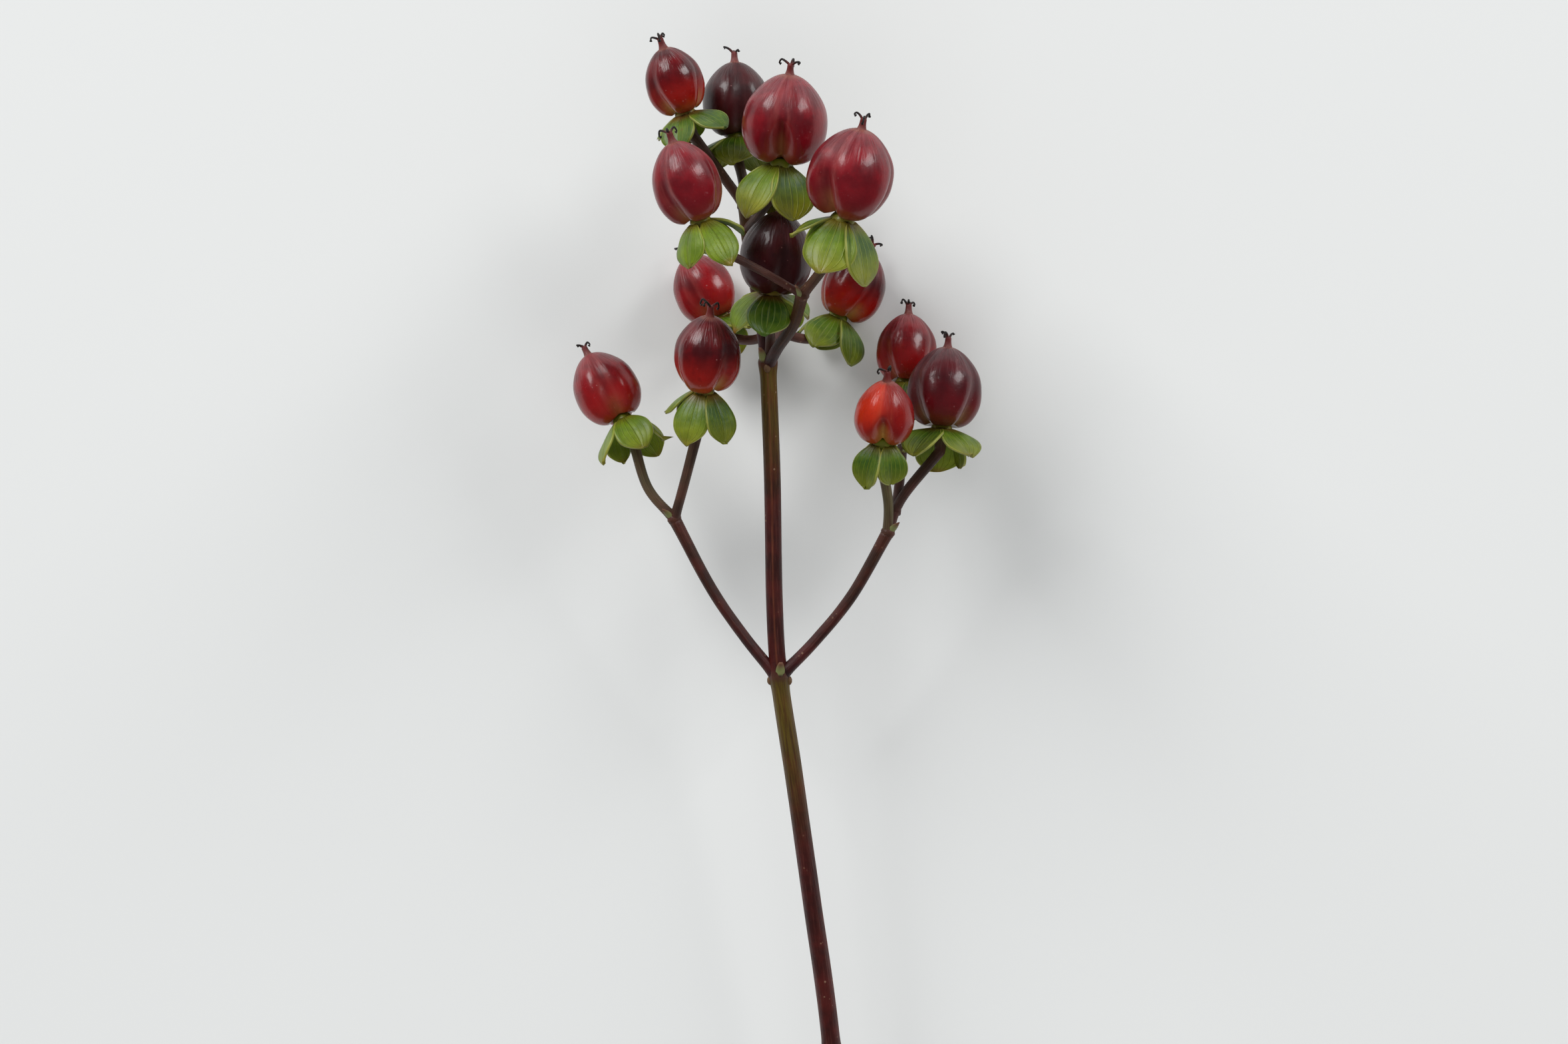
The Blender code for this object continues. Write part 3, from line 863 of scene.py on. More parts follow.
@dataclass
class MainStem:
    """The main axis from its slanting cut to the upper fork, with the scars of its leaves."""

    points: Sequence[Triple] = (
        (15.5, 0.0, 1.5), (16.4, 66.0, 5.0), (15.0, 132.0, 9.4), (10.9, 200.0, 14.2),
        (8.4, 233.4, 16.9), (5.2, 258.0, 18.8), (2.3, 279.6, 20.6), (0.0, 296.0, 22.0),
        (-0.7, 309.4, 23.1), (-0.9, 329.6, 24.8), (-1.5, 348.7, 26.3),
    )
    lower_fork: float = 296.0
    upper_fork: float = 348.7
    cut_radius: float = 1.7
    radius: float = 1.38
    node_swelling: float = 0.2
    node_reach: float = 1.6
    node_spacing: float = 65.3
    cut_height: float = 2.6
    cut_slant: float = 35.0
    scar_radius: float = 0.62
    ridge_height: float = 0.075
    ridge_width: float = 0.24
    end_round: float = 1.6
    end_reach: float = 1.4
    bark_thickness: float = 0.16
    wood_thickness: float = 0.95
    pith_depth: float = 0.25
    sides: int = 36
    step: float = 0.8
    node_step: float = 0.4
    nodes: list[float] = field(init=False)
    path: list[Vector] = field(init=False)

    def __post_init__(self) -> None:
        """Finds the nodes, from the upper fork down, and the middle line."""
        self.nodes = [self.upper_fork, self.lower_fork]
        while self.nodes[-1] > self.node_spacing / 2:
            self.nodes.append(self.nodes[-1] - self.node_spacing)
        self.path = smooth_path([placed(point) for point in self.points], 40)

    def middle(self, along: float) -> Vector:
        """The middle of the stem at a distance from the cut end.

        Args:
            along: The distance in millimetres.

        Returns:
            The place.
        """
        y = MM * (along + FRAME_SHIFT[1])
        for low, high in zip(self.path, self.path[1:]):
            if low.y <= y <= high.y:
                return low.lerp(high, (y - low.y) / (high.y - low.y))
        first, second = (self.path[-2], self.path[-1]) if y > self.path[-1].y else self.path[:2]
        return first.lerp(second, (y - first.y) / (second.y - first.y))

    def plain_radius(self, along: float) -> float:
        """The stem's radius in metres, with its swollen nodes.

        Args:
            along: The distance from the cut end in millimetres.

        Returns:
            The radius.
        """
        share = min(1.0, along / self.upper_fork)
        taper = self.cut_radius + (self.radius - self.cut_radius) * share
        swelling = sum(bell(along - node, self.node_reach) for node in self.nodes)
        return MM * taper * (1.0 + self.node_swelling * swelling)

    def internode(self, along: float) -> tuple[int, float]:
        """Which internode a place belongs to, and how far up it lies.

        Args:
            along: The distance from the cut end in millimetres.

        Returns:
            The number of the node above it, and 0 just above the node below to 1 under that one.
        """
        floors = [*self.nodes[1:], self.nodes[-1] - self.node_spacing]
        for number, (node, below) in enumerate(zip(self.nodes, floors)):
            if along > below:
                return number, min(1.0, (along - below) / (node - below))
        return len(self.nodes), 0.5

    def ridge(self, along: float, turn: float) -> float:
        """How much of a raised line there is: two run down from the scars of the node above.

        Args:
            along: The distance from the cut end in millimetres.
            turn: The angle round the stem.

        Returns:
            1 on a line and 0 beside it.
        """
        number, share = self.internode(along)
        start = 0.0 if number % 2 == 1 else math.pi / 2
        off = (turn - start + math.pi / 2) % math.pi - math.pi / 2
        fade = smoothstep(share, 0.0, 0.05) * smoothstep(1.0 - share, 0.0, 0.02)
        return bell(off, self.ridge_width) * fade

    def surface_radius(self, along: float, turn: float) -> float:
        """The radius with its raised lines and small unevenness.

        Args:
            along: The distance from the cut end in millimetres.
            turn: The angle round the stem.

        Returns:
            The radius in metres.
        """
        past = max(0.0, along - self.upper_fork) / self.end_round
        plain = self.plain_radius(along) * math.sqrt(max(0.05, 1.0 - past * past))
        uneven = 0.022 * wobble(turn, along * 0.09, 0.8)
        return plain * (1.0 + self.ridge_height * self.ridge(along, turn) + uneven)

    def colouring(self, along: float, turn: float) -> Traits:
        """How green the bark is, and where its lines and scars are.

        Args:
            along: The distance from the cut end in millimetres.
            turn: The angle round the stem.

        Returns:
            The numbers that the bark reads.
        """
        _, share = self.internode(along)
        side = 0.5 + 0.5 * wobble(turn, along * 0.03)
        green = smoothstep(share, 0.5, 0.99) * (0.5 + 0.55 * side)
        if along < self.nodes[-1]:
            green = 0.35
        at_node = max(bell(along - node, 0.8) for node in self.nodes)
        return bark_traits(green * (1.0 - at_node), self.ridge(along, turn), 0.25 * at_node)

    def stations(self) -> list[Station]:
        """The rings, closer together round each node.

        Returns:
            The stations from the cut end to the tip.
        """
        end = self.upper_fork + self.end_reach
        places = {round(self.step * number, 2) for number in range(int(end / self.step) + 1)}
        for node in self.nodes:
            places |= {round(node + self.node_step * number, 2) for number in range(-9, 10)}
        rings = []
        for along in sorted(place for place in places if place <= end):
            middle = self.middle(along)
            tangent = (self.middle(along + 1.0) - self.middle(along - 1.0)).normalized()
            right = (ACROSS - tangent * tangent.x).normalized()
            rings.append(
                Station(
                    middle, right, tangent.cross(right),
                    lambda turn, along=along: self.surface_radius(along, turn),
                    lambda turn, along=along: self.colouring(along, turn),
                    along * STREAKS_PER_MM,
                )
            )
        return rings

    def add_scars(self, shaper: Shaper) -> None:
        """The low knobs where a pair of leaves fell off, turned a quarter from node to node.

        Args:
            shaper: The mesh.
        """
        size = Vector((0.9, 1.3, 0.9)) * self.scar_radius * MM
        for number, node in enumerate(self.nodes):
            centre = self.middle(node - 0.9)
            for sign in (-1, 1):
                out = (ACROSS if number % 2 == 1 else UP) * sign
                place = centre + out * self.plain_radius(node) * 0.92
                shaper.ball(size, Matrix.Translation(place), bark_traits(0.15, 0.0, 0.75))

    def build(self) -> bpy.types.Object:
        """Builds and dresses the main axis.

        Returns:
            The piece.
        """
        shaper = Shaper(*BARK_TRAITS)
        shaper.sweep(self.stations(), self.sides)
        self.add_scars(shaper)
        slant = math.radians(self.cut_slant)
        foot = self.middle(self.cut_height)
        faces = shaper.cut(foot, Vector((math.sin(slant), math.cos(slant), 0.0)), 1)
        for thickness, depth in (
            (self.bark_thickness, 0.05), (self.wood_thickness, 0.0), (0.05, -self.pith_depth)
        ):
            ring = bmesh.ops.inset_region(
                shaper.bm, faces=faces, thickness=thickness * MM, depth=depth * MM
            )
            for face in ring["faces"]:
                face.material_index = 1
        shaper.cut(ORIGIN, UP)
        finish = StemBark().material("stem_bark")
        wood = CutWood(tuple(foot), self.cut_radius).material("stem_cut_wood")
        return shaper.piece("stem_main_axis", (finish, wood), ("stem",), Slot.STEM)


@dataclass
class Branch:
    """One side branch from the wood that it grows from to its own fork."""

    name: str
    points: Sequence[Triple]
    radius: float = 0.95
    green: float = 0.1
    knot: float = 1.3
    sides: int = 24

    def path(self) -> list[Vector]:
        """The middle line."""
        return smooth_path([placed(point) for point in self.points], 14)

    def add(self, shaper: Shaper) -> None:
        """Adds the branch and the knot at its fork to a mesh.

        Args:
            shaper: The mesh.
        """
        path = self.path()

        def radius(share: float, turn: float) -> float:
            """Thicker at both ends, and slightly uneven."""
            ends = 0.16 * abs(2 * share - 1) ** 4 + 0.22 * bell(share, 0.07)
            return MM * self.radius * (1.0 + ends + 0.03 * wobble(turn, share * 7 + self.radius))

        def traits(share: float, turn: float) -> Traits:
            """Greener towards the fork, with two faint lines."""
            line = 0.6 * bell(math.sin(turn), 0.3)
            return bark_traits(self.green * smoothstep(share, 0.1, 0.9), line)

        shaper.sweep(stations_along(path, UP, radius, traits), self.sides)
        size = Vector((self.knot, self.knot, self.knot)) * self.radius * MM
        shaper.ball(size, Matrix.Translation(path[-1]), bark_traits(0.5 * self.green, 0.0, 0.15))
        LOG.info("branch %s: %d rings", self.name, len(path))


@dataclass
class Branches:
    """The four side branches and the upper end of the axis."""

    branches: Sequence[Branch] = (
        Branch("left", ((0.0, 295.4, 22.0), (-5.6, 302.3, 22.5), (-11.3, 310.7, 23.2),
                        (-17.4, 322.4, 24.0)), green=0.08),
        Branch("right", ((0.0, 295.6, 22.0), (6.2, 302.0, 22.2), (12.4, 309.8, 22.6),
                         (18.3, 320.3, 23.0)), green=0.1),
        Branch("front", ((-1.5, 348.2, 26.2), (0.6, 351.3, 31.2), (3.6, 355.2, 37.0),
                         (5.3, 360.0, 41.5)), green=0.25),
        Branch("back", ((-1.5, 348.4, 26.2), (-1.3, 350.6, 21.4), (-1.1, 352.4, 16.8),
                        (-1.0, 353.4, 13.0)), green=0.1),
        Branch("top", ((-1.5, 347.9, 26.2), (-3.1, 358.5, 26.0), (-4.7, 368.0, 26.5),
                       (-5.3, 374.5, 27.0)), radius=1.0, green=0.3),
    )

    def build(self) -> bpy.types.Object:
        """Builds and dresses the branches as one piece.

        Returns:
            The piece.
        """
        shaper = Shaper(*BARK_TRAITS)
        for branch in self.branches:
            branch.add(shaper)
        finish = StemBark(maroon=paint(74, 22, 20), deep=paint(42, 12, 12)).material("branch_bark")
        return shaper.piece("stem_branches", (finish,), ("stem",), Slot.STEM)


@dataclass
class Bracts:
    """The small pointed scales at the forks, two to a fork, which hug the wood."""

    branches: Sequence[Branch]
    stem: MainStem
    length: float = 2.5
    width: float = 1.3
    thickness: float = 0.22

    def add(self, shaper: Shaper, root: Vector, forward: Vector, out: Vector) -> None:
        """Adds one scale.

        Args:
            shaper: The mesh.
            root: Where it grows from the wood.
            forward: The direction in which it points.
            out: Away from the wood.
        """
        side = forward.cross(out).normalized()
        made = bmesh.ops.create_grid(shaper.bm, x_segments=4, y_segments=6, size=1.0)["verts"]
        for vert in made:
            across, along = vert.co.x, (vert.co.y + 1) / 2
            half = self.width / 2 * (math.sin(math.pi * (0.2 + 0.75 * along)) ** 0.9 + 0.02)
            lift = 0.4 * along ** 2 * self.length - 0.2 * across ** 2 * self.width
            shaper.note(vert, {"along": along}, (across, along, 0.0))
            reach = forward * self.length * along + side * half * across
            vert.co = root + MM * (reach + out * lift)
        faces = list({face for vert in made for face in vert.link_faces})
        bmesh.ops.recalc_face_normals(shaper.bm, faces=faces)
        bmesh.ops.solidify(shaper.bm, geom=faces, thickness=self.thickness * MM)

    def build(self) -> bpy.types.Object:
        """Builds and dresses the scales as one piece.

        Returns:
            The piece.
        """
        shaper = Shaper("along")
        for branch in self.branches:
            path = branch.path()
            end, forward = path[-1], (path[-1] - path[-4]).normalized()
            side = (path[-1] - path[-6]).cross(Vector((0.0, 1.0, 0.4))).normalized()
            for sign in (-1, 1):
                out = (side * sign + UP * 0.3).normalized()
                self.add(shaper, end + out * branch.radius * MM, forward, out)
        for node, angle in ((self.stem.upper_fork, 118), (self.stem.upper_fork, -70),
                            (self.stem.lower_fork, 78), (self.stem.lower_fork, -100)):
            out = Vector((math.cos(math.radians(angle)), 0.0, math.sin(math.radians(angle))))
            root = self.stem.middle(node) + out * self.stem.plain_radius(node) * 0.9
            self.add(shaper, root, ALONG, out)
        return shaper.piece("stem_bracts", (BractScale().material("bract"),), (), Slot.STEM)


# The fruits


@dataclass
class Fruit:
    """Where one fruit stands, how large it is, and how it is turned."""

    number: int
    stalk: Sequence[Triple]
    foot: Triple
    centre: Triple
    width: float
    height: float
    groove: float
    turn: float
    bend: float
    ripeness: Ripeness
    stalk_green: float = 0.1
    egg: float = 0.11
    cleft: float = 0.1
    stalk_width: float = 1.0

    def own_frame(self) -> Matrix:
        """The fruit's frame: its origin at the berry's foot, Z towards its tip, X to the sky.

        Returns:
            The matrix from that frame to the part's.
        """
        foot, centre = placed(self.foot), placed(self.centre)
        z_axis = (centre - foot).normalized()
        y_axis = z_axis.cross(UP).normalized()
        x_axis = y_axis.cross(z_axis)
        turned = Matrix((x_axis, y_axis, z_axis)).transposed().to_4x4()
        return Matrix.Translation(centre - z_axis * MM * self.height / 2) @ turned

    def label(self, word: str) -> str:
        """The name of one of the fruit's pieces."""
        return "%s_%02d" % (word, self.number)


@dataclass
class Stalks:
    """The stalks of the fruits, which thicken under each calyx."""

    fruits: Sequence[Fruit]
    radius: float = 0.82
    end_radius: float = 1.02
    depth: float = 1.9
    straight: float = 4.1
    sides: int = 20

    def path(self, fruit: Fruit) -> list[Vector]:
        """The middle line of one stalk, straight in its last piece.

        Args:
            fruit: The fruit that it carries.

        Returns:
            The places along it.
        """
        own = fruit.own_frame()
        end, before = own @ (UP * -self.depth * MM), own @ (UP * -self.straight * MM)
        path = smooth_path([placed(point) for point in fruit.stalk] + [before], 10)
        return path + [path[-1].lerp(end, step / 5) for step in range(1, 6)]

    def build(self) -> bpy.types.Object:
        """Builds and dresses the stalks as one piece.

        Returns:
            The piece.
        """
        shaper = Shaper(*BARK_TRAITS)
        for fruit in self.fruits:
            start = self.radius * fruit.stalk_width

            def radius(share: float, turn: float) -> float:
                """Thicker where it leaves the wood and under the calyx."""
                uneven = 0.15 * bell(share, 0.1) + 0.03 * wobble(turn, share * 5 + fruit.number)
                return MM * (start + (self.end_radius - start) * share ** 3) * (1.0 + uneven)

            def traits(share: float, turn: float) -> Traits:
                """Greener towards the calyx."""
                green = fruit.stalk_green * (0.5 + 0.5 * share) + 0.35 * smoothstep(share, 0.8, 1.0)
                return bark_traits(green, 0.5 * bell(math.sin(turn), 0.35))

            shaper.sweep(stations_along(self.path(fruit), UP, radius, traits), self.sides)
        tones = StemBark(paint(84, 40, 36), paint(56, 28, 26), paint(104, 100, 62))
        finish = tones.material("stalk_bark")
        return shaper.piece("fruit_stalks", (finish,), ("stem",), Slot.STEM)


@dataclass(frozen=True)
class BerryFinishes:
    """The finishes that the berries share, made once."""

    skins: Mapping[Ripeness, bpy.types.Material]
    neck: bpy.types.Material
    style: bpy.types.Material

    @classmethod
    def make(cls) -> "BerryFinishes":
        """Mixes a skin for each ripeness, the neck and the styles."""
        skins = {stage: skin.material("berry_skin_" + stage.value) for stage, skin in SKINS.items()}
        return cls(skins, NeckSkin().material("berry_neck"), StyleHorn().material("berry_style"))


@dataclass
class Berry:
    """A berry: an egg with three lobes, its neck and its three curled styles."""

    fruit: Fruit
    finishes: BerryFinishes
    lobes: int = 3
    lobe_depth: float = 0.17
    groove_width: float = 0.30
    shoulder: float = 0.07
    blunt: float = 2.5
    dimple: float = 0.9
    hang: float = 0.35
    neck_radius: float = 0.75
    neck_length: float = 1.5
    neck_foot: float = 0.9
    neck_sides: int = 24
    style_radius: float = 0.27
    style_length: float = 1.9
    style_sides: int = 10
    sides: int = 96
    rings: int = 60

    def off_groove(self, turn: float) -> float:
        """The angle from the nearest groove."""
        spread = 2 * math.pi / self.lobes
        return (turn - math.radians(self.fruit.groove) + spread / 2) % spread - spread / 2

    def skin_point(self, direction: Vector) -> Vector:
        """Where a point of the unit sphere lies on the berry.

        Args:
            direction: The point of the sphere.

        Returns:
            Its place in the fruit's frame.
        """
        fruit = self.fruit
        turn = math.atan2(direction.y, direction.x)
        off = self.off_groove(turn)
        low = smoothstep(-direction.z, -0.35, 0.95)
        valley = bell(off, self.groove_width * (0.8 + 0.5 * low))
        deep = self.lobe_depth * (0.25 + 0.75 * (0.5 - 0.5 * direction.z))
        seed = Vector((1.7 * fruit.number, 0.0, 0.0))
        swing = noise.noise(direction * 1.4 + seed)
        flat = max(0.0, 1.0 - direction.z ** 2)
        rib = math.cos(9 * turn + fruit.number) * smoothstep(direction.z, 0.2, 0.8) * flat
        uneven = 1.0 + 0.012 * swing * flat + 0.006 * rib
        radius = MM * fruit.width / 2 * (1.0 - fruit.egg * direction.z) * uneven
        radius *= 1.0 - (deep + fruit.cleft * low) * valley
        radius *= 1.0 - self.shoulder * smoothstep(direction.z, 0.25, 0.95)
        if direction.z < 0.0 < flat:
            radius *= (1.0 - (-direction.z) ** self.blunt) ** (1.0 / self.blunt) / math.sqrt(flat)
        notch = 2.2 * fruit.cleft * low * valley * flat ** 0.45
        lift = MM * fruit.height / 2 * (1.0 + direction.z + notch)
        lift += MM * self.dimple * smoothstep(-direction.z, 0.95, 1.0)
        lift -= MM * self.hang * bell(direction.z + 0.9, 0.2)
        return Vector((direction.x * radius, direction.y * radius, lift))

    def add_body(self, shaper: Shaper) -> None:
        """Adds the body, with its height and its distance from a groove kept for the skin.

        Args:
            shaper: The mesh.
        """
        turned = Matrix.Rotation(math.radians(self.fruit.groove), 3, "Z")
        made = bmesh.ops.create_uvsphere(
            shaper.bm, u_segments=self.sides, v_segments=self.rings, radius=1.0
        )["verts"]
        bmesh.ops.rotate(shaper.bm, matrix=turned, verts=made)
        for vert in made:
            direction = vert.co.copy()
            turn = math.atan2(direction.y, direction.x)
            traits = {"rise": (direction.z + 1) / 2, "off": abs(self.off_groove(turn))}
            grain = (math.cos(turn) + self.fruit.number, math.sin(turn), 0.22 * direction.z)
            shaper.note(vert, traits, grain)
            vert.co = self.skin_point(direction)

    @staticmethod
    def tip_traits(share: float, turn: float) -> Traits:
        """How far up the neck or along a style a point is, and off the berry's grooves."""
        return {"rise": share, "off": 1.0}

    def add_neck(self, shaper: Shaper) -> None:
        """Adds the neck, which flares onto the berry's tip.

        Args:
            shaper: The mesh.
        """
        low, high = self.fruit.height - self.neck_foot, self.fruit.height + self.neck_length
        path = [UP * MM * (low + (high - low) * step / 12) for step in range(13)]
        path.append(path[-1] + UP * 0.15 * MM)
        groove = math.radians(self.fruit.groove)

        def radius(share: float, turn: float) -> float:
            """Wide at its foot, narrow above, with three faint ribs and a rounded end."""
            flare = (0.68 + 1.22 * (1.0 - share) ** 3.2) * (0.55 if share > 0.99 else 1.0)
            return MM * self.neck_radius * flare * (1.0 + 0.07 * math.cos(3 * (turn - groove)))

        rings = stations_along(path, ACROSS, radius, self.tip_traits)
        shaper.sweep(rings, self.neck_sides, 1)

    def add_styles(self, shaper: Shaper) -> None:
        """Adds the three styles, which curl away from the tip and end in a small knob.

        Args:
            shaper: The mesh.
        """
        top, reach = MM * (self.fruit.height + self.neck_length), self.style_length * MM
        chance = random.Random(700 + self.fruit.number)
        for style in range(self.lobes):
            angle = math.radians(self.fruit.groove) + 2 * math.pi * (style + 0.5) / self.lobes
            angle += chance.uniform(-0.5, 0.5)
            out = Vector((math.cos(angle), math.sin(angle), 0.0))
            side = UP.cross(out) * chance.uniform(-0.35, 0.35)
            rise, hook = chance.uniform(0.2, 0.55), chance.uniform(-0.25, 0.3)
            far = chance.uniform(0.45, 1.0)
            points = [
                UP * (top - 0.7 * MM) + out * 0.1 * MM,
                UP * top + out * (0.14 * reach),
                UP * (top + 0.7 * rise * reach) + (out * 0.5 + side * 0.3) * far * reach,
                UP * (top + rise * reach) + (out * 0.84 + side * 0.7) * far * reach,
                UP * (top + (rise - 0.2 - hook) * reach) + (out + side) * far * reach,
            ]
            if style != self.fruit.number % 4:
                points.append(points[-1] - (UP * 0.12 + out * 0.16) * reach)

            def radius(share: float, turn: float) -> float:
                """Thin, thinner to the end, with a knob on it."""
                knob = 0.5 * bell(share - 0.96, 0.05)
                return MM * self.style_radius * (0.92 - 0.5 * share + knob)

            start = Vector((0.3, 0.5, 1.0))
            rings = stations_along(smooth_path(points, 6), start, radius, self.tip_traits)
            shaper.sweep(rings, self.style_sides, 2)

    def build(self) -> bpy.types.Object:
        """Builds and dresses the berry.

        Returns:
            The piece.
        """
        fruit = self.fruit
        shaper = Shaper("rise", "off")
        self.add_body(shaper)
        self.add_neck(shaper)
        self.add_styles(shaper)
        bmesh.ops.transform(shaper.bm, matrix=fruit.own_frame(), verts=shaper.bm.verts[:])
        if min(vert.co.z for vert in shaper.bm.verts) < 0.0:
            shaper.cut(ORIGIN, UP)
        slot = Slot.YOUNG if fruit.ripeness is Ripeness.BRIGHT else Slot.BERRY
        materials = (self.finishes.skins[fruit.ripeness], self.finishes.neck, self.finishes.style)
        return shaper.piece(fruit.label("fruit"), materials, (fruit.label("berry"),), slot)


@dataclass
class Sepal:
    """One sepal: a thin curved blade with a rounded tip, bent back from the berry."""

    length: float
    width: float
    bend: float
    curl: float
    cup: float
    turn: float
    root: float = 1.5
    root_drop: float = 0.65
    clearance: float = 0.3
    steepest: float = 110.0
    plain_grid: tuple[int, int] = (2, 4)
    plain_thickness: float = 0.65

    def point(self, across: float, along: float, wave: float, rounded: bool) -> Vector:
        """Where a point of the blade lies.

        Args:
            across: From -1 to 1 across the blade.
            along: From 0 at its root to 1 at its tip.
            wave: How much the rim is waved, in millimetres.
            rounded: Whether the tip is drawn round, as it is in a fine blade.

        Returns:
            The place in the fruit's frame, for a sepal that points along X.
        """
        half = self.width / 2 * math.sin(math.pi * (0.035 + 0.885 * along ** 1.1)) ** 0.6
        if rounded:
            half *= math.sqrt(max(0.0, 1.0 - (max(0.0, along - 0.68) / 0.32) ** 2.4))
        else:
            along -= 0.13 * across ** 2 * along ** 3
        angle = self.bend + self.curl * along
        reach = self.root + self.length / self.curl * (math.sin(angle) - math.sin(self.bend))
        drop = self.root_drop + self.length / self.curl * (math.cos(self.bend) - math.cos(angle))
        lift = self.cup * half * across ** 2 * min(1.0, 2.5 * along) + wave
        return MM * Vector(
            (reach + lift * math.sin(angle), across * half, -drop + lift * math.cos(angle))
        )

    def blade(
        self, shaper: Shaper, own: Matrix, grid: tuple[int, int], thickness: float, detail: float
    ) -> list[bmesh.types.BMVert]:
        """Adds the blade to a mesh.

        Args:
            shaper: The mesh.
            own: The fruit's frame.
            grid: The faces across and along.
            thickness: The blade's thickness in millimetres.
            detail: 1 for the waved rim and the middle vein, 0 for a plain blade.

        Returns:
            The blade's points.
        """
        before = set(shaper.bm.verts)
        made = bmesh.ops.create_grid(shaper.bm, x_segments=grid[0], y_segments=grid[1], size=1.0)
        shade = 0.5 + 0.5 * math.sin(5.0 * self.turn + 9.0 * self.cup)
        phase = 7.0 * self.cup + self.turn
        for vert in made["verts"]:
            across, along = vert.co.x, (vert.co.y + 1) / 2
            if detail:
                along = 1.0 - (1.0 - along) ** 1.35
            if "along" in shaper.traits:
                traits = {"along": along, "across": across, "shade": shade}
                shaper.note(vert, traits, (across, along, phase))
            wave = 0.22 * math.sin(8.0 * along + phase + 2.0 * across) * across ** 2 * along
            wave -= 0.16 * bell(across, 0.16) * smoothstep(along, 0.0, 0.2)
            vert.co = self.point(across, along, detail * wave, bool(detail))
        faces = list({face for vert in made["verts"] for face in vert.link_faces})
        if detail:
            tip = [vert for vert in made["verts"] if vert[shaper.traits["along"]] > 0.9999]
            bmesh.ops.pointmerge(shaper.bm, verts=tip, merge_co=tip[0].co.copy())
            faces = list({
                face for vert in shaper.bm.verts if vert not in before for face in vert.link_faces
            })
        else:
            faces = bmesh.ops.triangulate(shaper.bm, faces=faces)["faces"]
        bmesh.ops.solidify(shaper.bm, geom=faces, thickness=thickness * MM)
        verts = [vert for vert in shaper.bm.verts if vert not in before]
        place = own @ Matrix.Rotation(self.turn, 4, "Z")
        bmesh.ops.transform(shaper.bm, matrix=place, verts=verts)
        return verts

    def keep_clear(self, own: Matrix) -> None:
        """Presses the sepal further back while it would reach the surface.

        Args:
            own: The fruit's frame.
        """
        while self.bend < math.radians(self.steepest):
            trial = Shaper()
            blade = self.blade(trial, own, self.plain_grid, self.plain_thickness, 0.0)
            lowest = min(vert.co.z for vert in blade)
            trial.bm.free()
            if lowest >= self.clearance * MM:
                return
            self.bend += math.radians(6)
            self.length *= 0.97


@dataclass
class Calyx:
    """The five unequal sepals on the small cup under a berry, bent back from it."""

    fruit: Fruit
    sepals: int = 5
    sepal_length: float = 8.6
    sepal_width: float = 7.5
    thickness: float = 0.4
    cup_top: float = 1.75
    cup_foot: float = 1.15
    cup_reach: tuple[float, float] = (-2.1, 0.6)
    cup_sides: int = 25
    grid: tuple[int, int] = (14, 22)

    def make_sepals(self, own: Matrix) -> list[Sepal]:
        """Draws the sizes and turns of the sepals.

        Args:
            own: The fruit's frame.

        Returns:
            The sepals.
        """
        chance = random.Random(400 + self.fruit.number)
        size = self.fruit.width / USUAL_BERRY_WIDTH
        made = []
        for place in range(self.sepals):
            big = 1.0 if place % 2 == 0 else 0.78
            length = self.sepal_length * size * big * chance.uniform(0.88, 1.1)
            width = self.sepal_width * size * big * chance.uniform(0.85, 1.1)
            bend = math.radians(max(14, self.fruit.bend + chance.uniform(-20, 10)))
            curl = math.radians(chance.uniform(24, 58))
            cup = chance.uniform(-0.28, 0.22)
            turn = self.fruit.turn + 360 / self.sepals * place + chance.uniform(-6, 6)
            sepal = Sepal(length, width, bend, curl, cup, math.radians(turn))
            sepal.keep_clear(own)
            made.append(sepal)
        return made

    def add_cup(self, shaper: Shaper, own: Matrix) -> None:
        """Adds the cup that the sepals grow from.

        Args:
            shaper: The mesh.
            own: The fruit's frame.
        """
        low, high = self.cup_reach
        top = self.cup_top * max(1.0, self.fruit.width / USUAL_BERRY_WIDTH)
        path = [own @ (UP * MM * (low + (high - low) * step / 8)) for step in range(9)]

        def radius(share: float, turn: float) -> float:
            """Swelling from the stalk to the rim."""
            swell = self.cup_foot + (top - self.cup_foot) * math.sin(share * 2.7) ** 1.4
            return MM * swell * (1.0 + 0.04 * math.cos(5 * (turn - math.radians(self.fruit.turn))))

        def traits(share: float, turn: float) -> Traits:
            """The cup takes the colour of a sepal's root."""
            return {"along": 0.02 + 0.1 * share, "across": 0.3, "shade": 0.4}

        start = own.to_3x3() @ ACROSS
        shaper.sweep(stations_along(path, start, radius, traits), self.cup_sides)

    def build(self) -> bpy.types.Object:
        """Builds and dresses the calyx.

        Returns:
            The piece.
        """
        own = self.fruit.own_frame()
        shaper = Shaper("along", "across", "shade")
        self.add_cup(shaper, own)
        for sepal in self.make_sepals(own):
            sepal.blade(shaper, own, self.grid, self.thickness, 1.0)
        chance = random.Random(800 + self.fruit.number)
        leaf = SepalLeaf(flush_share=chance.uniform(0.3, 0.8), age=chance.uniform(0.0, 0.7))
        finish = leaf.material(self.fruit.label("sepal_green"))
        name = self.fruit.label("sepals")
        return shaper.piece(name, (finish,), (self.fruit.label("calyx"),), Slot.CALYX)


